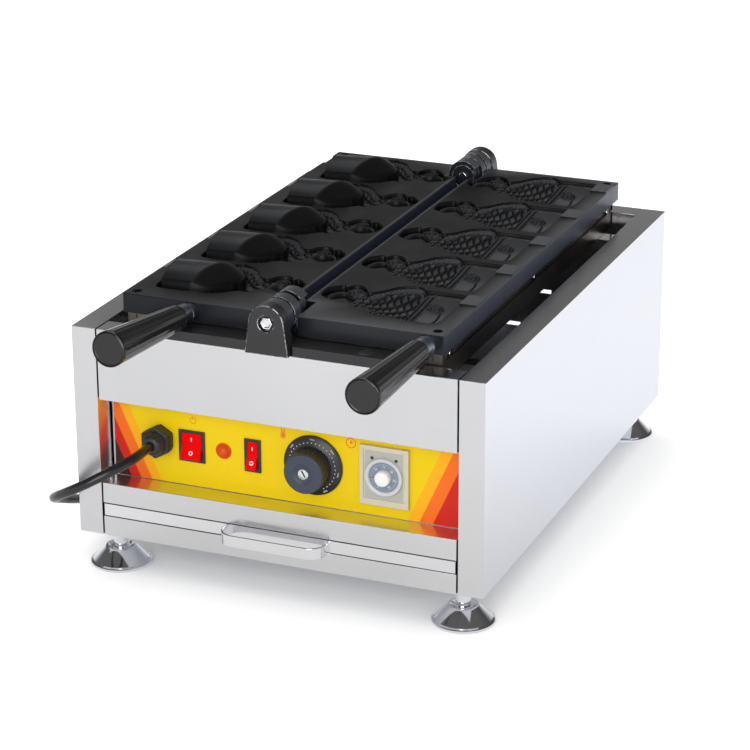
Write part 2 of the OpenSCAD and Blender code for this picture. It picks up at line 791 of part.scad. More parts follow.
module core() {
    intersection() {
        core_body(core_end);
        slab(0, core_end, -40, 40, -face_play, 20);
    }
    intersection() {
        core_body(mouth_u + 3);
        slab(0, mouth_u + 3, -40, 40, -face_play - core_root, -face_play);
    }
}

// Each mouth has a recess that takes the other plate's tongue
module left_plate() color(cast) place() hinge_half(-1) difference() {
    union() {
        difference() {
            plate_blank();
            for (k = [0 : moulds - 1]) translate([0, mould_y(k), 0]) mould();
            box_screw_holes();
        }
        for (k = [0 : moulds - 1]) translate([0, mould_y(k), 0]) core();
    }
    for (k = [0 : moulds - 1])
        slab(mouth_u - tongue_play, plate_out + over, mould_y(k) + mouth_v[0] - tongue_play,
            mould_y(k) + mouth_v[1] + tongue_play, -face_play - tongue_h - tongue_play, over);
}

// The box is a pan whose walls meet the plate's underside round its pad
module heater_box() {
    top = -face_play - plate_t;
    u0 = plate_u + box_inset;
    u1 = plate_out - box_inset;
    y0 = plate_y + 3.5;
    y1 = plate_back - 15;
    difference() {
        slab(u0, u1, y0, y1, top - box_h, top);
        slab(u0 + box_t, u1 - box_t, y0 + box_t, y1 - box_t, top - box_h + box_t, top + over);
        slab(u0 - over, notch_u + 1, y0 - over, plate_y + notch_l + 1,
            top - box_h - over, top + over);
        slab(u0 - over, notch_u + 1, plate_back - notch_l - 1, y1 + over,
            top - box_h - over, top + over);
        box_screw_holes();
    }
    for (y = [y0, plate_back - notch_l - 1])
        slab(notch_u + 1, notch_u + 1 + box_t, y, y + (y == y0
            ? plate_y + notch_l + 1 - y0 : y1 - plate_back + notch_l + 1),
            top - box_h, top);
    for (y = [plate_y + notch_l + 1, plate_back - notch_l - 1 - box_t])
        slab(u0, notch_u + 1 + box_t, y, y + box_t, top - box_h, top);
}

module box_screws() {
    for (i = [0 : 2])
        translate([0, plate_y + box_screw_first + i * box_screw_pitch,
            -face_play - plate_t - pad_t / 2]) {
            bar_x(1.98, plate_out - box_inset - 11, plate_out - box_inset);
            bar_x(box_screw_r, plate_out - box_inset, plate_out - box_inset + box_screw_h);
            if (i == 1) {
                bar_x(1.98, plate_u + box_inset, plate_u + box_inset + 15);
                bar_x(box_screw_r, plate_u + box_inset - box_screw_h, plate_u + box_inset);
            }
        }
}

// Each tube runs back and forth once under the pad; two tubes lie side by side
tube_run = plate_l - 2 * tube_end;

module heater_tube(u)
    translate([u, plate_y + tube_end, -face_play - plate_t - pad_t - tube_r - 0.05]) {
        for (x = [0, tube_pitch]) translate([x, 0, 0]) bar_y(tube_r, 0, tube_run);
        translate([tube_pitch / 2, tube_run, 0]) rotate_extrude(angle = 180)
            translate([tube_pitch / 2, 0]) circle(r = tube_r);
    }

module heater_tubes() {
    heater_tube(tube_u);
    heater_tube(tube_u + 2 * tube_pitch);
}

module left_heater_box() color(steel) place() hinge_half(-1) heater_box();
module right_heater_box() color(steel) place() hinge_half(1) heater_box();
module left_box_screws() color(bright) place() hinge_half(-1) box_screws();
module right_box_screws() color(bright) place() hinge_half(1) box_screws();
module left_heater_tubes() color(steel) place() hinge_half(-1) heater_tubes();
module right_heater_tubes() color(steel) place() hinge_half(1) heater_tubes();

/* Handles */

// Children are drawn along Z, away from the plate
module handle_line(side) place() hinge_half(side)
    translate([side > 0 ? right_handle_u : left_handle_u, plate_y,
        -face_play - plate_t / 2])
        rotate([0, 0, side > 0 ? -right_splay : left_splay])
            rotate([90 - (side > 0 ? right_tilt : left_tilt), 0, 0]) children();

// The boss is cut flush with the plate's face
module handle_rod(side) color([0.30, 0.32, 0.36]) difference() {
    handle_line(side) {
        translate([0, 0, -3]) cylinder(r = boss_r, h = boss_l + 3);
        translate([0, 0, boss_l]) cylinder(r = collar_r, h = collar_l);
        cylinder(r = rod_r, h = grip_from + grip_l - grip_cap_t - 10);
    }
    place() slab(-half_w, half_w, plate_y, plate_y + 20, hinge_z - 40, hinge_z + 40);
}

module grip(side) color(plastic) handle_line(side) difference() {
    translate([0, 0, grip_from]) {
        cylinder(r1 = grip_r1, r2 = grip_r2, h = grip_l - 1.2);
        translate([0, 0, grip_l - 1.2]) cylinder(r1 = grip_r2, r2 = grip_r2 - 1, h = 1.2);
    }
    translate([0, 0, grip_from - over])
        cylinder(r = rod_r + run_play, h = over + grip_l - grip_cap_t - 10);
    translate([0, 0, grip_from + grip_l - grip_cap_t])
        cylinder(r = grip_r2 - grip_rim, h = grip_cap_t + over);
}

module grip_cap(side) color([0.10, 0.10, 0.11]) handle_line(side)
    translate([0, 0, grip_from + grip_l - grip_cap_t])
        cylinder(r = grip_r2 - grip_rim, h = grip_cap_t - 0.4);

module left_handle_rod() handle_rod(-1);
module right_handle_rod() handle_rod(1);
module left_grip() grip(-1);
module right_grip() grip(1);
module left_grip_cap() grip_cap(-1);
module right_grip_cap() grip_cap(1);

/* Controls */

module at_control(x) place() translate([x, 0, ctrl_z]) children();
module at_gland() place() translate([gland_x, 0, gland_mid_z]) children();

module cable_gland() color(plastic) at_gland() difference() {
    union() {
        translate([0, label_y, 0]) rotate([90, 0, 0])
            cylinder(r = gland_af / sqrt(3) - 1.5, h = 5, $fn = 6);
        translate([0, label_y - 5, 0]) rotate([90, 0, 0])
            cylinder(r = gland_af / sqrt(3), h = 9, $fn = 6);
        translate([0, label_y - 14, 0]) rotate([90, 0, 0])
            cylinder(r1 = gland_af / 2 - 1, r2 = cord_d / 2 + 3.5, h = gland_l - 14 - label_t);
        bar_y(9.8, label_y, panel_y + 12);
    }
    bar_y(cord_d / 2 + 0.1, -over, panel_y + 13);
}

module gland_locknut() color(plastic) at_gland() difference() {
    translate([0, panel_y + sheet_t + 5, 0]) rotate([90, 0, 0])
        cylinder(r = gland_af / sqrt(3) - 0.5, h = 5, $fn = 6);
    bar_y(9.85, panel_y, panel_y + 8);
}

// Both switches have the same make-up at two sizes. A rocker turns on two short pins.
switch_wall = 2.2;
pivot_y = label_y - 1.1;
rocker_pin_r = 0.8;

module switch_body(w, h) difference() {
    union() {
        slab(-w / 2, w / 2, label_y - switch_rim, label_y, -h / 2, h / 2);
        slab(2 - w / 2, w / 2 - 2, label_y, panel_y + 22, 1.5 - h / 2, h / 2 - 1.5);
    }
    slab(switch_wall + 0.6 - w / 2, w / 2 - switch_wall - 0.6, label_y - switch_rim - over,
        panel_y + 9, switch_wall - h / 2, h / 2 - switch_wall);
    translate([0, pivot_y, 0])
        bar_x(rocker_pin_r + run_play, switch_wall - 0.7 - w / 2, w / 2 - switch_wall + 0.7);
}

// A rocker is a shallow V in front of its pivot, and narrows behind it
module rocker(w, h) {
    t = h / 2 - switch_wall - 0.7;
    translate([0, pivot_y, 0]) {
        rotate([-rocker_tilt, 0, 0])
            along_x(switch_wall + 1 - w / 2, w / 2 - switch_wall - 1)
                polygon([[-3.4, -t], [-0.9, 0], [-3.4, t], [1, t], [7, 4], [7, -4], [1, -t]]);
        bar_x(rocker_pin_r, switch_wall - 0.4 - w / 2, w / 2 - switch_wall + 0.4);
    }
}

module power_switch_body() color(plastic) at_control(power_x) switch_body(power_w, power_h);
module power_rocker() color(red) at_control(power_x) rocker(power_w, power_h);
module alarm_switch_body() color(plastic) at_control(alarm_x) switch_body(alarm_w, alarm_h);
module alarm_rocker() color(red) at_control(alarm_x) rocker(alarm_w, alarm_h);

module pilot_lamp() color([0.90, 0.33, 0.10]) at_control(lamp_x) {
    translate([0, label_y, 0]) rotate([90, 0, 0]) rotate_extrude()
        polygon([[0, 0], [lamp_r, 0], [lamp_r, 1.2], [lamp_r - 1, 2], [lamp_r - 1.6, 1.8],
            [lamp_r - 2, 3], [lamp_r - 3.6, 4.2], [0, 4.8]]);
    bar_y(lamp_r - 1.6, label_y, panel_y + 22);
}

shaft_r = 3;

// The dial's grip narrows a little and has a shallow hollow for its cap
module temp_knob() color(plastic) at_control(dial_x) difference() {
    translate([0, label_y - 0.5, 0]) rotate([90, 0, 0]) rotate_extrude()
        polygon([[0, 0], [dial_r, 0], [dial_r, 1], [dial_r - 2, skirt_t],
            [dial_grip_r + 1.5, skirt_t + 1], [dial_grip_r + 0.4, skirt_t + 2],
            [dial_grip_r - 0.4, dial_l - 2], [dial_grip_r - 1.6, dial_l - 0.5],
            [8, dial_l - 0.5], [7.6, dial_l - 1.3], [0, dial_l - 1.3]]);
    bar_y(shaft_r + 0.01, label_y - 13, label_y + over);
}

module thermostat_shaft() color(bright) at_control(dial_x)
    bar_y(shaft_r, label_y - 13, panel_y + 30);

module thermostat_body() color([0.75, 0.72, 0.62]) at_control(dial_x) difference() {
    union() {
        bar_y(4.9, panel_y - 0.2, panel_y + 8);
        slab(-20, 20, panel_y + sheet_t, panel_y + 10, -17, 17);
        bar_y(16, panel_y + 10, panel_y + 44);
    }
    bar_y(shaft_r + run_play, panel_y - over, panel_y + 30 + over);
}

// The timer's frame surrounds a flat face that carries the scale
module timer_frame() color(cream) at_control(timer_x) difference() {
    union() {
        slab(-timer_w / 2, timer_w / 2, label_y - timer_rim, label_y, -timer_h / 2, timer_h / 2);
        slab(3 - timer_w / 2, timer_w / 2 - 3, label_y, panel_y + 6, 3 - timer_h / 2,
            timer_h / 2 - 3);
    }
    slab(3.5 - timer_w / 2, timer_w / 2 - 3.5, label_y - timer_rim - over,
        label_y - timer_rim + 1.5, 6 - timer_h / 2, timer_h / 2 - 3.5);
    bar_y(shaft_r + run_play, 0, panel_y + 10);
}

timer_face_y = label_y - timer_rim + 1.5;

module timer_body() color(plastic) at_control(timer_x) difference() {
    slab(3 - timer_w / 2, timer_w / 2 - 3, panel_y + 6, panel_y + 6 + timer_body_d, 3 - timer_h / 2,
        timer_h / 2 - 3);
    bar_y(shaft_r + run_play, panel_y, panel_y + 20);
}

module timer_scale() color([0.62, 0.68, 0.74]) at_control(timer_x) difference() {
    bar_y(timer_ring_r, timer_face_y - 1.2, timer_face_y);
    bar_y(shaft_r + run_play, 0, panel_y);
}

module timer_knob() color([0.85, 0.85, 0.84]) at_control(timer_x) {
    translate([0, timer_face_y - 1.5, 0]) rotate([90, 0, 0]) rotate_extrude()
        polygon([[0, 0], [timer_ring_r - 1, 0], [timer_ring_r - 1.6, 3], [9, 3.4],
            [8.2, timer_knob_l - 1], [7.2, timer_knob_l], [0, timer_knob_l]]);
    bar_y(shaft_r, timer_face_y - 1.6, panel_y + 18);
}

/* Inside the bay */

poles = 6;

module terminal_block() color([0.86, 0.84, 0.78]) place()
    translate([terminal_x - half_w, bay_back - terminal_back, bay_floor + sheet_t])
        difference() {
            slab(-terminal_w / 2, terminal_w / 2, -terminal_d, 0, 0, terminal_h);
            for (i = [0 : poles - 1])
                translate([((i + 0.5) / poles - 0.5) * terminal_w, -terminal_d / 2,
                    terminal_h / 3]) cylinder(r = 3, h = terminal_h);
        }

// The coil's housing carries a narrower block of contacts in front
module contactor() color([0.22, 0.22, 0.24]) place()
    translate([contactor_x - half_w, bay_back - sheet_t, bay_floor + contactor_z]) {
        slab(-contactor_w / 2, contactor_w / 2, 12 - contactor_d, 0, 0, contactor_h);
        slab(4 - contactor_w / 2, contactor_w / 2 - 4, -contactor_d, 12 - contactor_d,
            contactor_h / 5, contactor_h * 4 / 5);
    }

module buzzer() color([0.15, 0.15, 0.16]) place()
    translate([half_w - buzzer_x, bay_back - sheet_t - buzzer_l, bay_floor + buzzer_z])
        difference() {
            bar_y(buzzer_r, 0, buzzer_l);
            bar_y(3, -over, 4);
        }

/* Drawer */

tray_z0 = slot_z + 1;
tray_z1 = strip_z - 0.9;

module drawer_tray() color(steel) place() difference() {
    slab(-tray_half, tray_half, sheet_t, sheet_t + tray_d, tray_z0, tray_z1);
    slab(tray_t - tray_half, tray_half - tray_t, sheet_t + tray_t,
        sheet_t + tray_d - tray_t, tray_z0 + tray_t, tray_z1 + over);
}

module drawer_front() color(bright) place()
    slab(0.8 - front_half, front_half - 0.8, 0, sheet_t, slot_z + 0.7, strip_z - 0.7);

// The strip is bent forward from each end, with round bends to a straight middle
pull_z = slot_z - 1.3;

module pull_outline(half, depth) {
    translate([0, -depth + pull_r]) square([2 * (half - pull_r), 2 * pull_r], center = true);
    for (s = [-1, 1]) translate([s * (half - pull_r), -depth + pull_r]) circle(r = pull_r);
    translate([-half, -depth + pull_r]) square([2 * half, depth - pull_r]);
}

module drawer_handle() color(bright) place() translate([0, 0, pull_z])
    linear_extrude(pull_h) intersection() {
        difference() {
            pull_outline(pull_w / 2, pull_d);
            pull_outline(pull_w / 2 - pull_t, pull_d - pull_t);
        }
        translate([-pull_w, -pull_d - over]) square([2 * pull_w, pull_d + over]);
    }

// A runner stands on the floor beside the tray and carries it on a lip
module drawer_runners() color(steel) place() both_sides() {
    slab(tray_half + 0.4, tray_half + 0.4 + sheet_t, return_d + 2, body_d - 30,
        foot_h + sheet_t, tray_z1);
    slab(tray_half - 6, tray_half + 0.4, return_d + 2, body_d - 30,
        tray_z0 - rest_play - sheet_t, tray_z0 - rest_play);
}

/* Mains lead */

// The lead leaves the gland forwards, turns back round the front left corner of the
// body and sinks to the floor beside it. Points are over the floor, behind the front.
cord_r = cord_d / 2;
route = [[-124.5, 0, 132.5], [-124.5, -9, 132.5], [-124.8, -20, 132.2],
    [-128.3, -34.5, 130.5], [-136.8, -48, 126.2], [-149.5, -57.5, 119.4],
    [-165.5, -62, 110.5], [-181.5, -59.5, 101.3], [-195.5, -51, 92.3],
    [-205, -37, 84], [-209, -21, 76.6], [-209.8, 0, 67.5], [-210, 25, 57.5],
    [-210, 50, 47], [-210, 75, 37], [-210, 100, 27.8], [-210, 125, 19.7],
    [-210, 150, 13.3], [-210, 180, 8.2], [-210, 215, 5.8], [-210, 260, 5.4],
    [-210, 330, 5.4], [-210, 400, 5.4], [-210, 431, 5.4]];

// A smooth curve passes through the points: each step follows four neighbours
function clip(i) = max(0, min(len(route) - 1, i));
function smooth(i, t) = let (a = route[clip(i - 1)], b = route[i],
        c = route[clip(i + 1)], d = route[clip(i + 2)])
    0.5 * (2 * b + (c - a) * t + (2 * a - 5 * b + 4 * c - d) * t * t
        + (3 * b - a - 3 * c + d) * t * t * t);
function step_count(i) = max(1, round(norm(route[i + 1] - route[i]) / (2.2 * cord_d) + 0.3));
lead_path = concat([for (i = [0 : len(route) - 2], s = [0 : step_count(i) - 1])
    smooth(i, s / step_count(i))], [route[len(route) - 1]]);

function unit(v) = v / norm(v);
function path_way(p, i) = unit(p[min(i + 1, len(p) - 1)] - p[max(i - 1, 0)]);

// A tube of flat faces along a path, with its sides kept level
module tube(p, r, sides) {
    n = len(p);
    rings = [for (i = [0 : n - 1]) let (w = path_way(p, i),
            a = unit(cross(w, [0, 0, 1])), b = cross(a, w), turn = 360 / sides)
        for (k = [0 : sides - 1]) p[i] + r * (a * cos((k + 0.5) * turn)
            + b * sin((k + 0.5) * turn))];
    faces = concat([[for (k = [0 : sides - 1]) k]],
        [for (i = [0 : n - 2], k = [0 : sides - 1]) each let (j = (k + 1) % sides,
            q = i * sides) [[q + k, q + k + sides, q + j],
            [q + j, q + k + sides, q + j + sides]]],
        [[for (k = [sides - 1 : -1 : 0]) (n - 1) * sides + k]]);
    polyhedron(rings, faces);
}

module power_cord() color(plastic) place() tube(lead_path, cord_r, 8);

// The coil lies in two layers: the turns wind inwards, climb and wind out again
coil_r = 60.8;
coil_turns = 3.5;
coil_pitch = cord_d + 0.5;
coil_rings = 24;
coil_end = cord_d;
lead_end = route[len(route) - 1];
coil_middle = [lead_end[0] - coil_r, lead_end[1] + coil_end];
coil_z = lead_end[2];

function coil_turn_r(t) = coil_r - coil_pitch * (coil_turns / 2 - abs(coil_turns / 2 - t));
function coil_climb(t) = max(0, min(1, (t - coil_turns / 2) * 2 + 0.5));
function coil_height(t) = let (c = coil_climb(t)) coil_z + coil_pitch * c * c * (3 - 2 * c);
function coil_point(t) = [coil_middle[0] + coil_turn_r(t) * cos(360 * t),
    coil_middle[1] + coil_turn_r(t) * sin(360 * t), coil_height(t)];
coil_wind = [for (i = [0 : coil_rings * coil_turns]) coil_point(i / coil_rings)];
coil_first = coil_wind[0];
coil_last = coil_wind[len(coil_wind) - 1];
coil_path = concat([coil_first - [0, coil_end, 0]], coil_wind, [coil_last - [0, coil_end, 0]]);

// Least gap between two stretches of the coil that aren't neighbours along it
coil_gap = min([for (i = [0 : len(coil_wind) - 1], j = [i + coil_rings / 2 : len(coil_wind) - 1])
    norm(coil_wind[i] - coil_wind[j])]) - cord_d;
echo(coil_gap = coil_gap);

module cord_coil() color(plastic) place() tube(coil_path, cord_r, 6);

// The plug lies beside the coil, with a ribbed sleeve towards the lead
plug_r = 14;

module mains_plug() color(plastic) place()
    translate(coil_last - [0, coil_end, 0]) rotate([90, 0, 0]) {
        cylinder(r1 = 6, r2 = 9, h = 20);
        translate([0, 0, 20]) cylinder(r1 = 12, r2 = plug_r, h = 8);
        translate([0, 0, 28]) cylinder(r = plug_r, h = 22);
        translate([0, 0, 50]) cylinder(r1 = plug_r, r2 = plug_r - 1.5, h = 3);
        for (s = [-1, 1]) translate([s * 9.5, 0, 53]) {
            cylinder(r = 2.4, h = 16);
            translate([0, 0, 16]) cylinder(r1 = 2.4, r2 = 1.4, h = 3);
        }
    }

left_side_panel();
right_side_panel();
front_upper_panel();
control_panel();
front_ledge();
bottom_rail();
rear_panel();
bottom_panel();
bay_partition();
plate_rests();
control_label();
hinge_bars();
hinge_bar_screws();
hinge_ears();
hinge_pins();
cable_gland();
gland_locknut();
power_switch_body();
power_rocker();
pilot_lamp();
alarm_switch_body();
alarm_rocker();
temp_knob();
thermostat_shaft();
thermostat_body();
timer_frame();
timer_body();
timer_scale();
timer_knob();
terminal_block();
contactor();
buzzer();
drawer_tray();
drawer_front();
drawer_handle();
drawer_runners();
foot_front_left();
foot_front_right();
foot_rear_left();
foot_rear_right();
foot_bushes();
left_plate();
left_hinge_hooks();
left_heater_box();
left_box_screws();
left_heater_tubes();
left_handle_rod();
left_grip();
left_grip_cap();
right_plate();
right_hinge_knuckles();
right_heater_box();
right_box_screws();
right_heater_tubes();
right_handle_rod();
right_grip();
right_grip_cap();
power_cord();
cord_coil();
mains_plug();
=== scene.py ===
# %% [markdown]
# # A fish-cake maker, dressed for its portrait
# The model arrives as plain solids: a steel box on cone feet, two cast plates that fold about
# one hinge line, handles, controls and a crumb drawer. This lesson keeps every solid where it
# is, gives each piece its finish, and carves the forms that the solids leave plain.

# %% The frame
import json
import math

import bmesh
import bpy
from mathutils import Matrix, Vector


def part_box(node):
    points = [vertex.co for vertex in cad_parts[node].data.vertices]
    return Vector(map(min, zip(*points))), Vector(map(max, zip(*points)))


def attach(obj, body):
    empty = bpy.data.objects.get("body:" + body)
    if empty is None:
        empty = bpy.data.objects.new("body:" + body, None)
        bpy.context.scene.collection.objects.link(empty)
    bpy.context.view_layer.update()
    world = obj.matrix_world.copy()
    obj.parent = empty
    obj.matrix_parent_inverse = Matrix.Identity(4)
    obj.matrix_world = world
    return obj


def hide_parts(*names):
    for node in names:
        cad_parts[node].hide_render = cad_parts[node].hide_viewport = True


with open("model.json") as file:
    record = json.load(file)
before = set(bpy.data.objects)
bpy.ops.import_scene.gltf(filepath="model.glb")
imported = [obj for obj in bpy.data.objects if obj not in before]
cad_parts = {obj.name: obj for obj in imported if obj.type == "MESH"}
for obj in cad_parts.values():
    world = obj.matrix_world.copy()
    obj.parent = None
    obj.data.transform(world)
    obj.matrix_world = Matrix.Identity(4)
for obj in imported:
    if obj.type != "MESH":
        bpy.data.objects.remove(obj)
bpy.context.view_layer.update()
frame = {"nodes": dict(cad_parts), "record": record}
MM = 0.001

body_of = {node: body for body, nodes in frame["record"]["behaviour"]["bodies"].items()
           for node in nodes}
slot_of = {part["node"]: part["material_slot"] for part in frame["record"]["subparts"]}
front_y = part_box("front_upper_panel")[0][1]
top_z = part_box("front_upper_panel")[1][2]
print("pieces to dress:", len(body_of), "front at", round(front_y, 4), "top at", round(top_z, 4))


def at(x, y, z):
    """A point given in millimetres: across, behind the front, over the floor."""
    return Vector((x * MM, front_y + y * MM, z * MM))


# %% [markdown]
# ## The camera
# The photograph was taken with a long lens from the right, a little over two metres away, so
# the upright edges hardly lean. The camera stands where the edges of the sheet body meet
# their places in the photograph.

# %% Camera


def added(name, data):
    """A new object in the scene"""
    item = bpy.data.objects.new(name, data)
    bpy.context.collection.objects.link(item)
    return item


view_from = at(918.61, -1987.91, 1046.96)
view_along = Vector((-0.356939, 0.864595, -0.353653))
view_roll = math.radians(-0.2237)

lens = bpy.data.cameras.new("studio_camera")
lens.lens = 127.216
lens.sensor_width = 36
camera = added("studio_camera", lens)
camera.matrix_world = (Matrix.Translation(view_from)
                       @ view_along.to_track_quat("-Z", "Y").to_matrix().to_4x4()
                       @ Matrix.Rotation(view_roll, 4, "Z"))
bpy.context.scene.camera = camera
print("camera is", round((view_from - at(0, 268, 120)).length, 3), "m from the body's middle")

# %% [markdown]
# ## The mains lead
# A 9 mm rubber lead leaves the gland straight ahead, turns back round the body's corner in a
# wide bend and sinks to the floor, because a lead this thick takes no tighter bend. The length
# that the photograph hides is wound in a neat coil behind the body. One curve holds it all: the
# free stretch is a list of given points, and the coil's turns come from a loop.

# %% Lead
lead_width = 9 * MM
lead_route = [
    (-124.5, 0, 132.5), (-124.5, -9, 132.5), (-124.8, -20, 132.2), (-128.3, -34.5, 130.5),
    (-136.8, -48, 126.2), (-149.5, -57.5, 119.4), (-165.5, -62, 110.5), (-181.5, -59.5, 101.3),
    (-195.5, -51, 92.3), (-205, -37, 84), (-209, -21, 76.6), (-209.8, 0, 67.5),
    (-210, 25, 57.5), (-210, 50, 47), (-210, 75, 37), (-210, 100, 27.8), (-210, 125, 19.7),
    (-210, 150, 13.3), (-210, 180, 8.2), (-210, 215, 5.8), (-210, 260, 5.4), (-210, 330, 5.4),
    (-210, 400, 5.4), (-210, 431, 5.4)]
coil_radius = 60.8
coil_turns = 3.5
coil_step = 9.5
coil_straight = 9
coil_points = 24
coil_middle = (lead_route[-1][0] - coil_radius, lead_route[-1][1] + coil_straight)


def coil_point(turn):
    """The turns wind inwards on the floor, climb one layer and wind out again on top."""
    half = coil_turns / 2
    radius = coil_radius - coil_step * (half - abs(half - turn))
    climb = min(1, max(0, (turn - half) * 2 + 0.5))
    height = lead_route[-1][2] + coil_step * climb * climb * (3 - 2 * climb)
    angle = 2 * math.pi * turn
    return (coil_middle[0] + radius * math.cos(angle), coil_middle[1] + radius * math.sin(angle),
            height)


coil_route = [coil_point(i / coil_points) for i in range(int(coil_points * coil_turns) + 1)]
lead_end = (coil_route[-1][0], coil_route[-1][1] - coil_straight, coil_route[-1][2])
lead_line = [at(*point) for point in lead_route + coil_route + [lead_end]]


def lead_curve(name, points, radius):
    """A round tube on one smooth curve through the points"""
    curve = bpy.data.curves.new(name, "CURVE")
    curve.dimensions = "3D"
    curve.bevel_depth = 1
    curve.bevel_resolution = 5
    curve.resolution_u = 5
    curve.use_fill_caps = True
    line = curve.splines.new("BEZIER")
    line.bezier_points.add(len(points) - 1)
    for knot, point in zip(line.bezier_points, points):
        knot.co = point
        knot.handle_left_type = "AUTO"
        knot.handle_right_type = "AUTO"
        knot.radius = radius
    return added(name, curve)


mains_lead = lead_curve("mains_lead", lead_line, lead_width / 2)
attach(mains_lead, "base")
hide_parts("power_cord", "cord_coil")
print("lead has", len(lead_line), "points")

# %% [markdown]
# ## Small tools for making pieces
# Every new piece starts as a bmesh, the editable mesh that Blender's own tools work on.
# `finished` turns it into an object at the origin, hangs it on the body it moves with, hides
# the solids it stands for, and marks its sharp edges. `dressed` takes a solid whose shape
# is already right and only breaks its edges, because no real edge is perfectly sharp and the
# thin highlight along it is what makes metal look like metal. `spun` turns a profile on a
# lathe, and `turned` makes a whole piece of one profile.

# %% Piece tools
dressings = {}
flat_area = 6 * MM ** 2
flat_turn = 2
broader = 5
weld = 1e-6


def creased(shape, sharp):
    """Marks the edges that shade as sharp: wide turns, and the borders of broad flat faces."""
    for face in shape.faces:
        face.smooth = True
    for edge in shape.edges:
        turn = math.degrees(edge.calc_face_angle(0))
        areas = [face.calc_area() for face in edge.link_faces]
        flush = (turn < flat_turn or max(areas) < flat_area
                 or max(areas) < broader * min(areas))
        level = {face.normal.z > 0.9999 for face in edge.link_faces}
        edge.smooth = turn < sharp and flush and len(level) == 1


def meshed(name, shape):
    """A bmesh as a mesh, and the bmesh freed"""
    mesh = bpy.data.meshes.new(name)
    shape.to_mesh(mesh)
    shape.free()
    return mesh


def finished(name, shape, body, *nodes, slot=None, finish=None, sharp=35, outwards=True):
    """A bmesh becomes a piece that rides on its body and stands for its nodes."""
    if outwards:
        bmesh.ops.recalc_face_normals(shape, faces=shape.faces)
    creased(shape, sharp)
    piece = added(name, meshed(name, shape))
    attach(piece, body)
    if nodes:
        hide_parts(*nodes)
    slot = slot or slot_of[nodes[0]]
    dressings[piece] = finish or slot


def rounded(shape, corners, width, segments, affect="EDGES", clamp=False):
    """Blender's bevel with a round profile, which gives the faces that it makes"""
    return bmesh.ops.bevel(shape, geom=corners, offset=width, segments=segments, profile=0.5,
                           affect=affect, material=-1, clamp_overlap=clamp)["faces"]


def break_edges(shape, width, steps, over):
    """Bevels the edges that turn by more than the given angle and notes where they wear."""
    worn = shape.faces.layers.float.new("worn")
    edges = [edge for edge in shape.edges
             if len(edge.link_faces) == 2 and edge.calc_face_angle(0) > math.radians(over)]
    for face in rounded(shape, edges, width, steps, clamp=True):
        face[worn] = 1


def merged(node):
    """A copy of a solid with its points merged and its flat faces whole"""
    shape = bmesh.new()
    shape.from_mesh(frame["nodes"][node].data)
    bmesh.ops.remove_doubles(shape, verts=shape.verts, dist=weld)
    bmesh.ops.dissolve_limit(shape, angle_limit=math.radians(1), verts=shape.verts,
                             edges=shape.edges)
    return shape


def dressed(node, width=0.4, steps=2, over=28, finish=None):
    """A copy of a solid with broken edges, which stands for it."""
    shape = merged(node)
    break_edges(shape, width * MM, steps, over)
    finished(node + "_dressed", shape, body_of[node], node, finish=finish, outwards=False)


def joined(shape, part, place):
    """Moves a part to its place, puts it into a shape and frees it."""
    bmesh.ops.transform(part, matrix=place, verts=part.verts)
    mesh = meshed("part", part)
    shape.from_mesh(mesh)
    bpy.data.meshes.remove(mesh)


def spun(shape, profile, place, steps=64):
    """Turns a profile of (radius, height) in millimetres about the Z axis of a place."""
    part = bmesh.new()
    points = [part.verts.new((radius * MM, 0, height * MM)) for radius, height in profile]
    for pair in zip(points, points[1:]):
        part.edges.new(pair)
    bmesh.ops.spin(part, geom=part.verts[:] + part.edges[:], cent=(0, 0, 0), axis=(0, 0, 1),
                   angle=2 * math.pi, steps=steps, use_merge=True)
    bmesh.ops.remove_doubles(part, verts=part.verts, dist=weld)
    joined(shape, part, place)


def turned(name, profile, place, body, *nodes, steps=64, **more):
    """A piece that is one turned profile"""
    shape = bmesh.new()
    spun(shape, profile, place, steps)
    finished(name, shape, body, *nodes, **more)


def facing(x, y, z, towards=(0, -1, 0)):
    """A place whose Z axis points to the front, or along another direction"""
    return (Matrix.Translation(at(x, y, z))
            @ Vector(towards).to_track_quat("Z", "Y").to_matrix().to_4x4())


def moved(place, x, y, z=0):
    """A place moved along its own axes, in millimetres"""
    return place @ Matrix.Translation((x * MM, y * MM, z * MM))


print("piece tools are ready")

# %% [markdown]
# ## Shader maths as plain expressions
# A material is a small program of nodes. `Wire` lets such a program be written as arithmetic:
# adding or multiplying two wires adds the Math node that does it. `Finish` makes every other
# node through one method.

# %% Shader tools


class Wire:
    """A socket of a material that behaves like a number"""

    def __init__(self, finish, socket):
        self.finish = finish
        self.socket = socket

    def maths(self, operation, other):
        return self.finish.node("ShaderNodeMath", {"operation": operation}, {0: self, 1: other})

    def __add__(self, other):
        return self.maths("ADD", other)

    def __rsub__(self, other):
        return self * -1 + other

    def __mul__(self, other):
        return self.maths("MULTIPLY", other)

    def __gt__(self, other):
        return self.maths("GREATER_THAN", other)

    __radd__ = __add__
    __rmul__ = __mul__


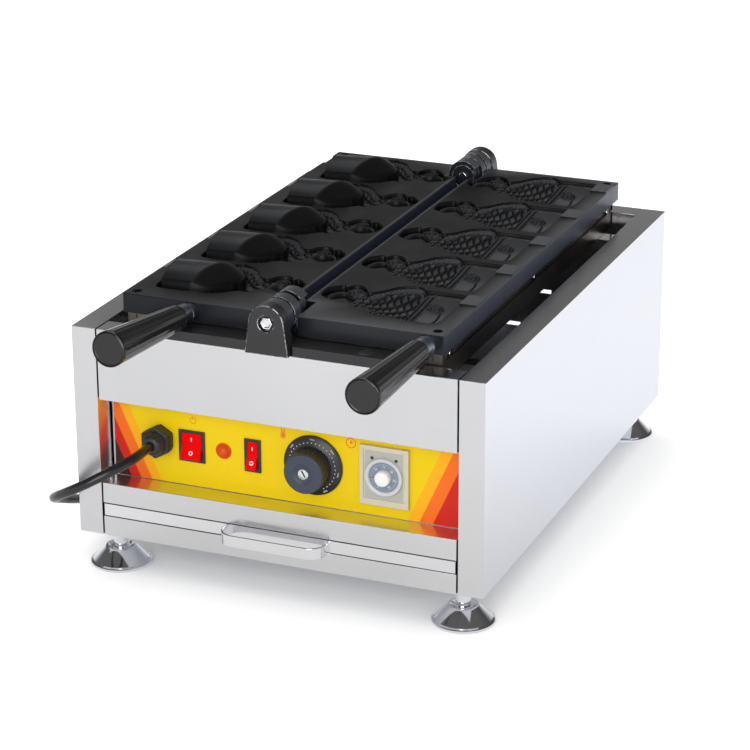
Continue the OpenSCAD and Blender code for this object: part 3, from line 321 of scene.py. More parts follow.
class Finish:
    """A material, or the world, that grows node by node"""

    def __init__(self, name, family=bpy.data.materials):
        self.owner = family.new(name)
        self.owner.use_nodes = True
        self.tree = self.owner.node_tree
        self.tree.nodes.clear()

    def node(self, kind, settings=None, inputs=None, output=0):
        """Adds a node: its settings first, then the values or links of its sockets."""
        node = self.tree.nodes.new(kind)
        for name, value in (settings or {}).items():
            if name == "stops":
                ramp = node.color_ramp.elements
                while len(ramp) < len(value):
                    ramp.new(0.5)
                for stop, (place, colour) in zip(ramp, value):
                    stop.position = place
                    stop.color = (*colour, 1)
            else:
                setattr(node, name, value)
        for name, value in (inputs or {}).items():
            if isinstance(value, Wire):
                self.tree.links.new(value.socket, node.inputs[name])
            elif isinstance(value, tuple) and node.inputs[name].type == "RGBA":
                node.inputs[name].default_value = (*value, 1)
            else:
                node.inputs[name].default_value = value
        return Wire(self, node.outputs[output]) if node.outputs else None

    def coordinates(self, kind="Object"):
        """Where a point is. Object coordinates are the row's metres here."""
        return self.node("ShaderNodeTexCoord", output=kind)

    def part(self, vector, axis):
        """One number of a vector: X, Y or Z"""
        return self.node("ShaderNodeSeparateXYZ", inputs={"Vector": vector}, output=axis)

    def layer(self, name):
        """A number that is stored on the mesh"""
        return self.node("ShaderNodeAttribute", {"attribute_name": name}, output="Fac")

    def ray(self, kind):
        """1 for the rays of one kind, such as Camera or Glossy"""
        return self.node("ShaderNodeLightPath", output="Is " + kind + " Ray")

    def noise(self, scale, detail=3, stretch=(1, 1, 1)):
        """Cloudy noise, finer along the axes that are stretched"""
        place = self.node("ShaderNodeMapping", inputs={
            "Vector": self.coordinates(), "Scale": stretch})
        return self.node("ShaderNodeTexNoise", inputs={
            "Vector": place, "Scale": scale, "Detail": detail})

    def mix(self, share, first, second):
        """Two colours mixed by a share"""
        return self.node("ShaderNodeMix", {"data_type": "RGBA"},
                         {0: share, 6: first, 7: second}, 2)

    def band(self, wire, low, high, from_value=0.0, to_value=1.0):
        """A smooth step from one value to another between two limits"""
        return self.node("ShaderNodeMapRange", {"interpolation_type": "SMOOTHSTEP"}, {
            "Value": wire, "From Min": low, "From Max": high, "To Min": from_value,
            "To Max": to_value})

    def bump(self, height, depth, strength=1.0):
        return self.node("ShaderNodeBump", inputs={
            "Height": height, "Distance": depth, "Strength": strength})

    def surface(self, **inputs):
        """The closing shader: wires for what varies, plain values for the rest"""
        names = {name.replace("_", " ").title().replace("Ior", "IOR"): value
                 for name, value in inputs.items()}
        shader = self.node("ShaderNodeBsdfPrincipled", inputs=names)
        self.node("ShaderNodeOutputMaterial", inputs={"Surface": shader})
        return self.owner


finishes = {}
print("shader tools are ready")

# %% [markdown]
# ## The sheet body
# The box is folded from 1.2 mm stainless sheet. Its panels are right as solids, so each only
# gets the small radius that a folded sheet has. Steel shows what stands round it, so its colour
# stays plain, and the fine lines of the brushing go into its roughness and a very small bump.
# The heater boxes are steel too, but dark, brown and grey in clouds.

# %% Body panels
for node in ("left_side_panel", "right_side_panel", "front_upper_panel", "front_ledge",
             "bottom_rail", "rear_panel", "control_panel", "bay_partition", "bottom_panel",
             "plate_rests", "drawer_front", "drawer_tray", "drawer_runners"):
    dressed(node)


def brushed_steel():
    steel = Finish("brushed_steel")
    lines = steel.noise(1, 2, stretch=(9, 9, 900))
    clouds = steel.noise(7, 2)
    tone = steel.mix(lines * 0.5 + clouds * 0.5, (0.68, 0.68, 0.69), (0.78, 0.78, 0.79))
    return steel.surface(base_color=tone, roughness=steel.band(clouds, 0.3, 0.7, 0.17, 0.27),
                         metallic=1.0, normal=steel.bump(lines, 0.00004, 0.4))


def clouded_steel(name, scale, detail, dark, light, smooth, rough):
    """Steel whose colour and gloss change in clouds"""
    steel = Finish(name)
    clouds = steel.noise(scale, detail)
    return steel.surface(base_color=steel.mix(clouds, dark, light), metallic=1.0,
                         roughness=steel.band(clouds, 0.3, 0.7, smooth, rough))


finishes["stainless"] = brushed_steel()
finishes["polished_steel"] = clouded_steel("polished_steel", 60, 3, (0.86, 0.86, 0.88),
                                           (0.86, 0.86, 0.88), 0.06, 0.14)
finishes["dark_clouded_steel"] = clouded_steel("dark_clouded_steel", 18, 4, (0.10, 0.085, 0.07),
                                           (0.24, 0.22, 0.20), 0.30, 0.45)
rail_low, rail_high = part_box("bottom_rail")
print("bottom rail is", round((rail_high[1] - rail_low[1]) / MM, 1), "mm deep")

# %% [markdown]
# ## Hinge irons
# Two black bars lie across the top of the body and carry an ear each. A bright hexagon bolt
# is the pin, with a dished head. The castings keep their shape and get wider rounded edges
# than the sheets. Their black is worn off there: `break_edges` notes the faces that it makes,
# and the finish shows bare metal on them in patches.

# %% Hinge
for node, width in (("hinge_bars", 0.7), ("hinge_ears", 0.8), ("right_hinge_knuckles", 0.7),
                    ("left_hinge_hooks", 0.7)):
    dressed(node, width, steps=3)
dressed("hinge_bar_screws", 0.3, steps=3, finish="collar_metal")

pins = merged("hinge_pins")
pin_ends = [value[1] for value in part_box("hinge_pins")]
heads = [face for face in pins.faces
         if min(abs(face.calc_center_median().y - end) for end in pin_ends) < 0.1 * MM]
for head in heads:
    for thickness, depth in ((1.2, 0), (0.5, -0.7)):
        bmesh.ops.inset_region(pins, faces=[head], thickness=thickness * MM, depth=depth * MM,
                               use_even_offset=True)
break_edges(pins, 0.3 * MM, 2, 40)
finished("hinge_pins_dished", pins, body_of["hinge_pins"], "hinge_pins", outwards=False)
print("bolt heads dished:", len(heads))

# %% Black finishes
bare_metal = (0.42, 0.43, 0.46)


def rubbed(finish):
    """How much of the black is rubbed off: in patches along the broken edges"""
    return finish.layer("worn") * finish.band(finish.noise(220), 0.40, 0.62)


def black_enamel():
    """Dark coating with a fine orange-peel skin and rubbed edges"""
    coat = Finish("black_bar")
    skin = coat.noise(1400)
    wear = coat.noise(25, 4)
    bare = rubbed(coat)
    black = coat.mix(wear, (0.014, 0.014, 0.015), (0.020, 0.020, 0.022))
    return coat.surface(base_color=coat.mix(bare, black, bare_metal), metallic=bare,
                        roughness=coat.band(wear, 0.3, 0.7, 0.28, 0.40),
                        normal=coat.bump(skin, 0.00004, 0.5))


finishes["black_bar"] = black_enamel()


def seasoned_iron():
    """Cast plates: ground faces painted darker to the left, walls painted lighter and darker by
    facing, painted shade in hollows and grooves
    """
    iron = Finish("cast_plate")
    skin = iron.noise(1500)
    wear = iron.noise(25, 4)
    dark = iron.layer("soot")
    across = iron.part(iron.coordinates(), "X")
    normal = iron.coordinates("Normal")
    facing_side = iron.part(normal, "X")
    # The walls' blue-black is partly their own enamel; its split by facing is painted light and
    # shade: walls turned to the sides are painted lighter blue-grey, walls turned to the front
    # and back near black.
    level = iron.band(iron.part(normal, "Z"), 0.2, 0.8)
    wall = iron.mix(iron.band(facing_side * facing_side, 0.5, 0.9), (0.006, 0.008, 0.012),
                    (0.030, 0.036, 0.058))
    # Painted light and shade across the plates: faces darken nearly to black towards the left
    # end, and are lighter and carry more coat towards the right.
    painted_light_rightwards = iron.band(across, -0.16, 0.04)
    ground_face = iron.mix(wear, (0.048, 0.049, 0.054), (0.062, 0.064, 0.070))
    face = iron.mix(painted_light_rightwards, (0.006, 0.007, 0.009), ground_face)
    before_hollow_shade = iron.mix(level, wall, face)
    # Painted shade from the mesh takes the colour towards black: hollows, grooves, the foot of
    # each wall and the core's nose.
    black = iron.mix(dark, before_hollow_shade, (0.002, 0.002, 0.002))
    bare = rubbed(iron)
    return iron.surface(base_color=iron.mix(bare, black, bare_metal), metallic=bare,
                        roughness=iron.band(wear, 0.3, 0.7, 0.38, 0.50),
                        specular_ior_level=0.25,
                        coat_weight=(1 - dark) * (painted_light_rightwards * 0.28 + 0.08),
                        coat_roughness=0.22, normal=iron.bump(skin, 0.00004, 0.5))


finishes["cast_plate"] = seasoned_iron()
print("black finishes:", len(finishes) - 3)

# %% [markdown]
# ## The mould plates
# Each plate holds five hollows shaped like half a fish. A hollow is carved in three steps: a
# flat face is drawn from the fish's outline, it is cut into a fine grid of lines, and every
# point is then lowered to the depth that a small function gives for its place. The wall is
# drawn up from the outline with a narrow sloping rim, because a cast edge is never sharp.
# Lengths here are in millimetres: u runs outwards from the hinge line, v to the back. The
# rear mould's tail is drawn in a little, because it would break into the notch of the hinge.

# %% The outline
hinge_x = -3
mould_middles = [93 + 94 * k for k in range(5)]
mouth_u = 138.5
rim_slope = 0.5
grid_step = 0.8

outline_round = [
    (mouth_u, -30), (134, -42), (107, -43), (98, -40), (85, -42), (74, -38), (69, -32), (60, -25),
    (52, -26), (45, -18), (37, -9), (27, -15), (18, -11), (12, -4), (11, 12), (17, 21), (23, 25),
    (27, 21), (31, 28), (38, 29), (45, 24), (51, 15), (61, 23), (70, 37), (81, 44), (88, 46),
    (94, 43), (98, 39), (119, 39), (mouth_u, 38)]


def curve_through(points, parts):
    """Points of a smooth line through the given ones: each part follows four neighbours."""
    line = []
    for i in range(len(points) - 1):
        before, start = Vector(points[max(i - 1, 0)]), Vector(points[i])
        end, after = Vector(points[i + 1]), Vector(points[min(i + 2, len(points) - 1)])
        for k in range(parts):
            t = k / parts
            line.append(0.5 * (2 * start + (end - before) * t
                               + (2 * before - 5 * start + 4 * end - after) * t * t
                               + (3 * start - before - 3 * end + after) * t ** 3))
    return line + [Vector(points[-1])]


outline = curve_through(outline_round, 5)
drawn_in = {(11, 12): (11.5, 6.5), (17, 21): (15.5, 9.2), (23, 25): (19, 11),
            (27, 21): (21.5, 18)}
rear_outline = curve_through([drawn_in.get(point, point) for point in outline_round], 5)
print("outline points:", len(outline))

# %% [markdown]
# The hollow itself is the cake's plump body: a curve turned about a line over the plate. On
# it lie the scales, which overlap towards the tail, the double gill line, the ringed eye, the
# fringed back fin and the curled tail fins. Each is a few lines that add to the depth.

# %% Carving
edge_depth = 3.5
hollow_depth = 20
hollow_rise = 25
hollow_middle = 120
hollow_length = 78
gill_radius = 60
gill_starts = (91.5, 96)
eye = (111.2, 25.2)
eye_stretch = 2.3
scales_from = 40
scale_step = (4.8, 10)
scale_radius = 6.6
scroll_at = (37, 19)
lip_at = (33, 1)
lip_radius = 15.5
smile_u = 117.4
back_line = outline_round[20:28] + [(139, 38)]


def soft(value, low, high):
    """0 below low, 1 above high and a smooth slope between"""
    t = min(1, max(0, (value - low) / (high - low)))
    return t * t * (3 - 2 * t)


def blend(first, second, share):
    return first * (1 - share) + second * share


def ridge(distance, half_width):
    """1 on a line, falling off to 0 at its half width"""
    t = abs(distance) / half_width
    return (1 - t * t) ** 2 if t < 1 else 0.0


def hollow(u, v):
    along = 1 - ((hollow_middle - u) / hollow_length) ** 2
    radius = hollow_rise + hollow_depth * along
    if radius <= abs(v):
        return edge_depth
    return max(edge_depth, math.sqrt(radius * radius - v * v) - hollow_rise)


def gill(v, start):
    return start + gill_radius - math.sqrt(gill_radius ** 2 - v * v)


def back_edge(u):
    for (u0, v0), (u1, v1) in zip(back_line, back_line[1:]):
        if u <= u1:
            return v0 + (v1 - v0) * max(0, u - u0) / (u1 - u0)
    return back_line[-1][1]


def scales(u, v):
    """Depth of the overlapping scales: each falls away to a raised rim, the next on top."""
    row = math.floor((u - scales_from) / scale_step[0])
    for k in range(row + 2, row - 2, -1):
        shift = 0.5 * (k % 2)
        middle_v = (round(v / scale_step[1] - shift) + shift) * scale_step[1]
        distance = math.hypot(u - scales_from - k * scale_step[0], v - middle_v) / scale_radius
        if distance < 1 and u < scales_from + (k + 0.3) * scale_step[0]:
            return 0.2 + 1.9 * distance ** 2 - 2.4 * soft(distance, 0.78, 0.93)
    return 0.6


def relief(u, v):
    """What the fish's features add to the depth of the plain hollow"""
    back = back_edge(u)
    neck = gill(v, gill_starts[0])
    in_body = soft(u, 42, 47) * (1 - soft(u, neck - 2.5, neck - 1.2))
    along_fin = soft(u, 52, 56) * (1 - soft(u, 93, 97))
    fin = soft(v, back - 11, back - 10) * along_fin
    extra = scales(u, v) * in_body * (1 - fin)
    if fin > 0:
        comb = abs(math.sin(math.pi * (u - 0.35 * v) / 3.4)) * abs(math.sin(math.pi * v / 4.2))
        extra += fin * (1.6 * comb - 1.8) + 1.8 * ridge(v - back + 10.5, 1.2) * along_fin
    for start in gill_starts:
        extra += 1.7 * ridge(u - gill(v, start), 1.1)
        extra -= 0.6 * ridge(u - gill(v, start) - 1.9, 1.0)
    from_eye = math.hypot(u - eye[0], (v - eye[1]) * eye_stretch)
    for radius in (7.6, 4.6, 1.2):
        extra += 1.3 * ridge(from_eye - radius, 0.9)
        extra -= 0.6 * ridge(from_eye - radius - 1.5, 0.8)
    smile = ridge(u - smile_u + 0.02 * (v - 20) ** 2, 1.0)
    return extra + 1.4 * smile * soft(v, 4, 8) * soft(-v, -24, -21)


def tail(u, v):
    """Depth of the tail: a deep crescent, its bright lip and a fin curled like a scroll"""
    to_scroll = math.hypot(u - scroll_at[0], v - scroll_at[1])
    turn = math.atan2(v - scroll_at[1], u - scroll_at[0])
    scroll = 4.2 + 1.5 * math.sin(2 * math.pi * to_scroll / 3.6 - turn)
    to_lip = math.hypot(u - lip_at[0], v - lip_at[1]) - lip_radius
    crescent = 7.5 - 4.8 * ridge(to_lip, 2.4) - 2.0 * ridge(to_lip - 6, 1.4)
    return blend(scroll, crescent, soft(to_scroll, 8.5, 10.5))


def hollow_floor(u, v):
    """Height of the carved floor over the plate's face"""
    return -max(1.5, blend(tail(u, v), hollow(u, v) + relief(u, v), soft(u, 39, 46)))


def soot(u, v):
    """Painted shade on the carved floor: the whole hollow darkens, its grooves and deep tail
    most.
    """
    grooves = blend(soft(tail(u, v), 2.5, 7), soft(relief(u, v), 0.1, 1.1), soft(u, 39, 46))
    return 0.3 + 0.7 * grooves


print("deepest point of a mould:", round(min(hollow_floor(u, 0) for u in range(45, 138)), 1))

# %% [markdown]
# The left plate's hollows are the same, but a blunt core stands in each of them to keep the
# cake's mouth open. Its top is part of a round bar that rises a little inwards as far as a
# crease, and its nose falls away beyond it. Where the core is higher than the carved floor, it
# is the floor.

# %% Cores
core_middle = -3
core_end = 136.5
core_height = 12.8
core_rise = 0.05
core_radius = 38
core_half = 26
crease_u = 96
crease_slant = 0.42
nose_length = 21
nose_fall = 0.60
nose_curl = 0.012
side_fall = 4


def past_crease(u, v):
    return crease_u - crease_slant * (v - core_middle) - u


def core_top(u, v):
    """Height of the core over the plate's face, far below it where there is no core"""
    off = v - core_middle
    past = past_crease(u, v)
    if u > core_end or past > nose_length:
        return -99
    half = core_half
    if past > 0:
        half *= math.sqrt(1 - (past / nose_length) ** 2)
    inside = min(abs(off), half)
    crown = core_height + core_rise * (core_end - u) - core_radius
    height = crown + math.sqrt(core_radius ** 2 - inside ** 2)
    height -= side_fall * max(0, abs(off) - half)
    return height - nose_fall * max(0, past) - nose_curl * max(0, past) ** 2


def cored_floor(u, v):
    return max(core_top(u, v), hollow_floor(u, v))


def core_soot(u, v):
    """Painted shade on the core: its nose, which faces away from the light, and the foot of its
    sides, where the hollow's shadow falls.
    """
    side = soft(abs(v - core_middle), core_half - 1.5, core_half)
    return max(soft(past_crease(u, v), 0, 2.5) * 0.85, side, soft(2 - core_top(u, v), 0, 1.5))


print("core stands", round(max(core_top(u, core_middle) for u in range(65, 137)), 1), "mm high")

# %% [markdown]
# The flat patch of the fish is cut into its grid and carved once, then copied for the moulds.
# Its points are lowered, and its border is drawn up to the face with the small slope of a cast
# rim. The rim moves outwards along the mean direction of the two edges that meet at a point.

# %% Patch


def flat_patch(border):
    """The fish's outline as one face, cut by lines into a fine grid"""
    patch = bmesh.new()
    patch.faces.new([patch.verts.new((point.x, point.y, 0)) for point in border])
    for axis, low, high in ((Vector((1, 0, 0)), 11, 138.5), (Vector((0, 1, 0)), -43, 46)):
        lines = [low + grid_step * (i + 0.5) for i in range(int((high - low) / grid_step))]
        for line in lines + ([core_end - 0.1, core_end + 0.1] if axis.x else []):
            bmesh.ops.bisect_plane(patch, geom=patch.verts[:] + patch.edges[:] + patch.faces[:],
                                   dist=1e-3, plane_co=axis * line, plane_no=axis)
    return patch


def lifted(patch, edges, height):
    """Draws a border of edges up to a height and gives the new edges."""
    made = bmesh.ops.extrude_edge_only(patch, edges=edges)["geom"]
    for item in made:
        if isinstance(item, bmesh.types.BMVert):
            item.co.z = height
    return [item for item in made if isinstance(item, bmesh.types.BMEdge)]


def points_of(items):
    """The points of some edges or faces"""
    return {vert for item in items for vert in item.verts}


def carve(patch, floor):
    """Lowers the patch to its floor and draws its wall up to a sloping rim."""
    outwards = {}
    border = [edge for edge in patch.edges if edge.is_boundary]
    for edge in border:
        first, second = edge.verts
        along = second.co - first.co
        side = Vector((along.y, -along.x, 0)).normalized()
        if side.dot(edge.link_faces[0].calc_center_median() - first.co) > 0:
            side.negate()
        for vert in edge.verts:
            key = vert.co.xy.to_tuple(3)
            outwards[key] = outwards.get(key, Vector((0, 0, 0))) + side
    # Painted shade kept on each point: over the core's nose and foot, and over the hollow's
    # floor, most in its grooves.
    shade = patch.verts.layers.float.new("soot")
    for vert in patch.verts:
        u, v = vert.co.xy
        height = floor(u, v)
        vert.co.z = height
        vert[shade] = core_soot(u, v) if height > hollow_floor(u, v) else soot(u, v)
    # The border points at the foot of the wall are painted fully black, as shade.
    for vert in points_of(border):
        vert[shade] = 1
    rim = lifted(patch, lifted(patch, border, -rim_slope), 0)
    for vert in points_of(rim):
        vert.co += outwards[vert.co.xy.to_tuple(3)].normalized() * rim_slope


print("patch has", len(flat_patch(outline).faces), "faces")

# %% [markdown]
# A plate is a flat casting with notches for the hinge and a thicker pad below, where the
# hollows go deeper than the plate. Its flat face is filled last, between its own border, the
# rims of the five moulds and the two locating holes. The right plate carries a low tongue
# beside each mouth, and a Boolean cuts the recesses for them from the left one.

# %% Plates
plate_in, notch_in, plate_out = 6.7, 17, 156.2
plate_front, notch_front, notch_back, plate_back = 24, 66, 482, 524
plate_outline = [
    (notch_in, plate_front), (plate_out, plate_front), (plate_out, plate_back),
    (notch_in, plate_back), (notch_in, notch_back), (plate_in, notch_back),
    (plate_in, notch_front), (notch_in, notch_front)]
face_z = 269
rim_height = 18
pad_height = 8
pad_inset = 12
edge_round = 0.8
corner_round = 1.2
hole_u = 146.2
hole_radius = 4.5
hole_depth = 10
tongue_span = (12, 38)
tongue_rise = 1.7
tongue_play = 0.6


def plate_blank():
    """The casting without its flat face: walls, rounded edges and the pad below"""
    shape = bmesh.new()
    shape.faces.new([shape.verts.new((u, v, 0)) for u, v in plate_outline])
    corners = [vert for vert in shape.verts if vert.co.x > mouth_u]
    rounded(shape, corners, corner_round, 4, "VERTICES")
    sunk = bmesh.ops.extrude_face_region(shape, geom=shape.faces[:], use_keep_orig=True)["geom"]
    below = [item for item in sunk if isinstance(item, bmesh.types.BMVert)]
    bmesh.ops.translate(shape, verts=below, vec=(0, 0, -rim_height))
    bottom = [item for item in sunk if isinstance(item, bmesh.types.BMFace)]
    bmesh.ops.inset_region(shape, faces=bottom, thickness=pad_inset, depth=0,
                           use_even_offset=True)
    pad = bmesh.ops.extrude_discrete_faces(shape, faces=bottom)["faces"]
    bmesh.ops.translate(shape, verts=list(points_of(pad)), vec=(0, 0, -pad_height))
    bmesh.ops.recalc_face_normals(shape, faces=shape.faces)
    upper = [edge for edge in shape.edges if all(vert.co.z > -0.01 for vert in edge.verts)]
    rounded(shape, upper, edge_round, 3)
    flat = [face for face in shape.faces if face.normal.z > 0.999 and face.calc_area() > 1000]
    bmesh.ops.delete(shape, geom=flat, context="FACES_ONLY")
    return shape


def tongue_blocks(play, bottom, top):
    """A low block beside every mouth, grown by a play for the recess that takes it"""
    blocks = bmesh.new()
    start, end = (mouth_u - 1, 160) if play else (mouth_u + 0.4, 156)
    for middle in mould_middles:
        made = bmesh.ops.create_cube(blocks, size=1)["verts"]
        low = Vector((start, middle + tongue_span[0] - play, bottom))
        high = Vector((end, middle + tongue_span[1] + play, top))
        bmesh.ops.transform(blocks, verts=made, matrix=Matrix.Translation((low + high) / 2)
                            @ Matrix.Diagonal((*(high - low), 1)))
    if not play:
        rounded(blocks, blocks.edges[:], 0.4, 2)
    return blocks


def plate_shape(floor):
    """The casting with its five moulds, its two locating holes and its face between them"""
    shape = plate_blank()
    for border, middles in ((outline, mould_middles[:-1]), (rear_outline, mould_middles[-1:])):
        patch = flat_patch(border)
        carve(patch, floor)
        for middle in middles:
            joined(shape, patch.copy(), Matrix.Translation((0, middle, 0)))
        patch.free()
    for v in (plate_front + 10, plate_back - 10):
        place = Matrix.Translation((hole_u, v, -hole_depth))
        circle = bmesh.ops.create_circle(shape, cap_ends=True, radius=hole_radius, segments=32,
                                         matrix=place)["verts"]
        edges = {edge for vert in circle for edge in vert.link_edges}
        lifted(shape, [edge for edge in edges if edge.is_boundary], 0)
    border = [edge for edge in shape.edges if edge.is_boundary]
    bmesh.ops.triangle_fill(shape, edges=border, use_beauty=True, use_dissolve=False,
                            normal=(0, 0, 1))
    bmesh.ops.recalc_face_normals(shape, faces=shape.faces)
    return shape


def placed_plate(shape, side):
    """From the plate's own millimetres to its place in the frame, to the left or the right"""
    own = Matrix.Translation(at(hinge_x, 0, face_z)) @ Matrix.Diagonal((side * MM, MM, MM, 1))
    bmesh.ops.transform(shape, matrix=own, verts=shape.verts)
    return shape


right_shape = plate_shape(hollow_floor)
right_shape.from_mesh(meshed("tongues", tongue_blocks(0, -1, tongue_rise)))
finished("right_plate_carved", placed_plate(right_shape, 1), "right_mould", "right_plate",
         sharp=50)

left_shape = plate_shape(cored_floor)
cutter = added("cutter", meshed("cutter", tongue_blocks(tongue_play, -2.3, 3)))
uncut = added("uncut", meshed("uncut", left_shape))
recesses = uncut.modifiers.new("recesses", "BOOLEAN")
recesses.object = cutter
recesses.operation = "DIFFERENCE"
recesses.solver = "EXACT"
bpy.context.view_layer.update()
cut = uncut.evaluated_get(bpy.context.evaluated_depsgraph_get())
left_shape = bmesh.new()
left_shape.from_mesh(cut.data)
for helper in (cutter, uncut):
    bpy.data.objects.remove(helper)
finished("left_plate_carved", placed_plate(left_shape, -1), "left_mould", "left_plate", sharp=50)

# %% [markdown]
# ## Heater boxes
# Under each plate sits a thin sheet box with the heating tubes in it, held by screws in its
# sides. The solids have their real shape, so they only get their rounded edges.

# %% Heater boxes
for side in ("left", "right"):
    dressed(side + "_heater_box", finish="dark_clouded_steel")
    dressed(side + "_box_screws", 0.3)
    dressed(side + "_heater_tubes", 0.2, over=50)
print("heater boxes dressed")

# %% [markdown]
# ## Handles
# A handle is a turned collar on a rod, a moulded grip with flutes along it and a matt cap in
# its end. A flute is a line of points of a cone that is drawn towards the middle, and the
# ridges between are then rounded, as a mould would round them.

# %% Handles
grip_from = 25
grip_end = 142
grip_small = 11.6
grip_large = 16.1
collar_line = [(0, -2), (7.6, -2), (8, 8), (8.4, 9), (9.3, 9), (9.8, 9.5), (9.8, 10.8),
               (9.3, 11.4), (9.3, 22), (9.8, 22.6), (9.8, 24.4), (9.3, 25), (5, 25), (5, 128),
               (0, 128)]
ferrule_line = [(5.2, 25), (11.1, 25), (11.6, 25.5), (11.6, 27.4), (11, 28.2), (5.2, 28.2),
                (5.2, 25)]
rim_line = [(14.7, 137.4), (15.5, 137.2), (16.1, 137.8), (16.1, 140.8), (15.8, 141.7),
            (15.2, 141.98), (14.7, 141.4), (14.7, 137.4)]
cap_line = [(0, 138), (14.7, 138), (14.7, 141.2), (14.1, 141.6), (13, 141.3), (0, 141.1)]


def fluted(shape, place, lower, upper, start, length, count, depth, soften=0.5):
    """A cone with flutes along it, between a start and its length on a place's Z axis"""
    part = bmesh.new()
    bmesh.ops.create_cone(part, cap_ends=True, segments=2 * count, radius1=lower * MM,
                          radius2=upper * MM, depth=length * MM)
    valleys = [vert for vert in part.verts
               if round(math.atan2(vert.co.y, vert.co.x) * count / math.pi) % 2]
    bmesh.ops.scale(part, verts=valleys, vec=(1 - depth / upper, 1 - depth / upper, 1))
    ridges = [edge for edge in part.edges if not any(vert in valleys for vert in edge.verts)]
    rounded(part, ridges, soften * MM, 3)
    joined(shape, part, moved(place, 0, 0, start + length / 2))


def handle_place(side, u, splay, tilt):
    """The handle's line, from the middle of the plate's front face outwards"""
    splay, tilt = math.radians(splay), math.radians(tilt)
    direction = (side * math.cos(tilt) * math.sin(splay), -math.cos(tilt) * math.cos(splay),
                 math.sin(tilt))
    return facing(hinge_x + side * u, plate_front, face_z - rim_height / 2, direction)


for name, place in (("left", handle_place(-1, 87.8, 3.5, 4.2)),
                    ("right", handle_place(1, 141.4, -1.3, 0.5))):
    turned(name + "_collar", collar_line, place, name + "_mould", name + "_handle_rod")
    grip = bmesh.new()
    fluted(grip, place, grip_small + 0.35, grip_large, grip_from + 3,
           grip_end - grip_from - 7.5, 22, 0.5)
    spun(grip, ferrule_line, place)
    spun(grip, rim_line, place)
    finished(name + "_grip_fluted", grip, name + "_mould", name + "_grip")
    turned(name + "_cap_turned", cap_line, place, name + "_mould", name + "_grip_cap")
print("handles made")

# %% [markdown]
# ## Feet
# Four polished cones carry the body. They are turned on a lathe, and a stem goes up into the
# bush in the floor of the body.

# %% Feet
foot_line = [(0, 0), (28, 0), (28.7, 0.3), (29, 1), (29, 2.6), (28.6, 3.1), (27.9, 3.4),
             (26.5, 4.1), (15, 15.9), (14.1, 16.8), (13.3, 17), (12.2, 16.7), (9.6, 13.4),
             (9, 13.6), (9, 16), (8.6, 16.2), (7, 16.2), (7, 58.2), (0, 58.2)]
for x, name in ((-172, "left"), (172, "right")):
    for y, end in ((26, "front"), (510, "rear")):
        node = "foot_" + end + "_" + name
        turned(node + "_turned", foot_line, Matrix.Translation(at(x, y, 0)), node, node,
               steps=72)
dressed("foot_bushes", 0.3)
print("feet made")

# %% [markdown]
# ## Drawer handle
# The crumb drawer's handle is one bent strip of bright steel. Its solid is right and only its
# edges are broken.

# %% Drawer handle
dressed("drawer_handle", 0.45, steps=3)
print("drawer handle dressed")

# %% [markdown]
# ## Controls
# From the left: the gland, the power switch, a pilot lamp, the buzzer's switch, the thermostat's
# dial and the timer. All stand on the film that covers the recessed panel.

# %% Print tools
control_z = 129.5
film_y = 23.6
gland_x, power_x, lamp_x, alarm_x, dial_x, timer_x = -124.5, -92.7, -61, -31.6, 28.3, 97.8


def lettering(shape, words, height, place):
    """Numbers as thin print, centred on a place that faces outwards"""
    script = bpy.data.curves.new("print", "FONT")
    script.body = words
    script.size = height * MM / 0.7
    script.extrude = 0.05 * MM
    script.align_x = "CENTER"
    script.align_y = "CENTER"
    holder = added("print", script)
    mesh = bpy.data.meshes.new_from_object(
        holder.evaluated_get(bpy.context.evaluated_depsgraph_get()))
    bpy.data.objects.remove(holder)
    part = bmesh.new()
    part.from_mesh(mesh)
    joined(shape, part, place)


def upright(part):
    """The edges that run along Z"""
    return [edge for edge in part.edges
            if abs(edge.verts[0].co.z - edge.verts[1].co.z) > 1e-5]


def bar(shape, place, width, length, thick=0.1, radius=0):
    """A flat bar of print, rounded at its corners where a radius is given"""
    part = bmesh.new()
    bmesh.ops.create_cube(part, size=MM)
    bmesh.ops.scale(part, verts=part.verts, vec=(width, length, thick))
    if radius:
        rounded(part, upright(part), radius * MM, 4)
    joined(shape, part, place)


def ring(shape, place, inner, outer, thick=0.1, steps=48):
    """A flat ring of print"""
    half = thick / 2
    spun(shape, [(inner, -half), (outer, -half), (outer, half), (inner, half), (inner, -half)],
         place, steps)


def round_about(place, angle, radius, height=0):
    """A place at a clock angle in degrees round another, its Y axis pointing outwards"""
    return moved(place @ Matrix.Rotation(-math.radians(angle), 4, "Z"), 0, radius, height)


# %% Gland
gland_place = facing(gland_x, film_y, 132.5)
gland = bmesh.new()
for radius, start, length, width in ((14.1, 0, 5, 0.5), (15.59, 5, 9, 0.9)):
    nut = bmesh.new()
    bmesh.ops.create_cone(nut, cap_ends=True, segments=6, radius1=radius * MM,
                          radius2=radius * MM, depth=length * MM)
    rounded(nut, nut.edges[:], width * MM, 3)
    joined(gland, nut, moved(gland_place, 0, 0, start + length / 2))
fluted(gland, gland_place, 12.3, 10.4, 13.6, 5.6, 16, 0.8, 0.3)
spun(gland, [(4.6, 14), (11.4, 14), (10.2, 19.2), (9.8, 20.4), (8.4, 22.4), (6.6, 23.5),
             (4.8, 23.6), (4.6, 23.2), (4.6, 14)], gland_place)
spun(gland, [(4.6, -12), (9.8, -12), (9.8, 0), (4.6, 0), (4.6, -12)], gland_place)
finished("gland_ribbed", gland, "base", "cable_gland")
dressed("gland_locknut")
print("gland made")

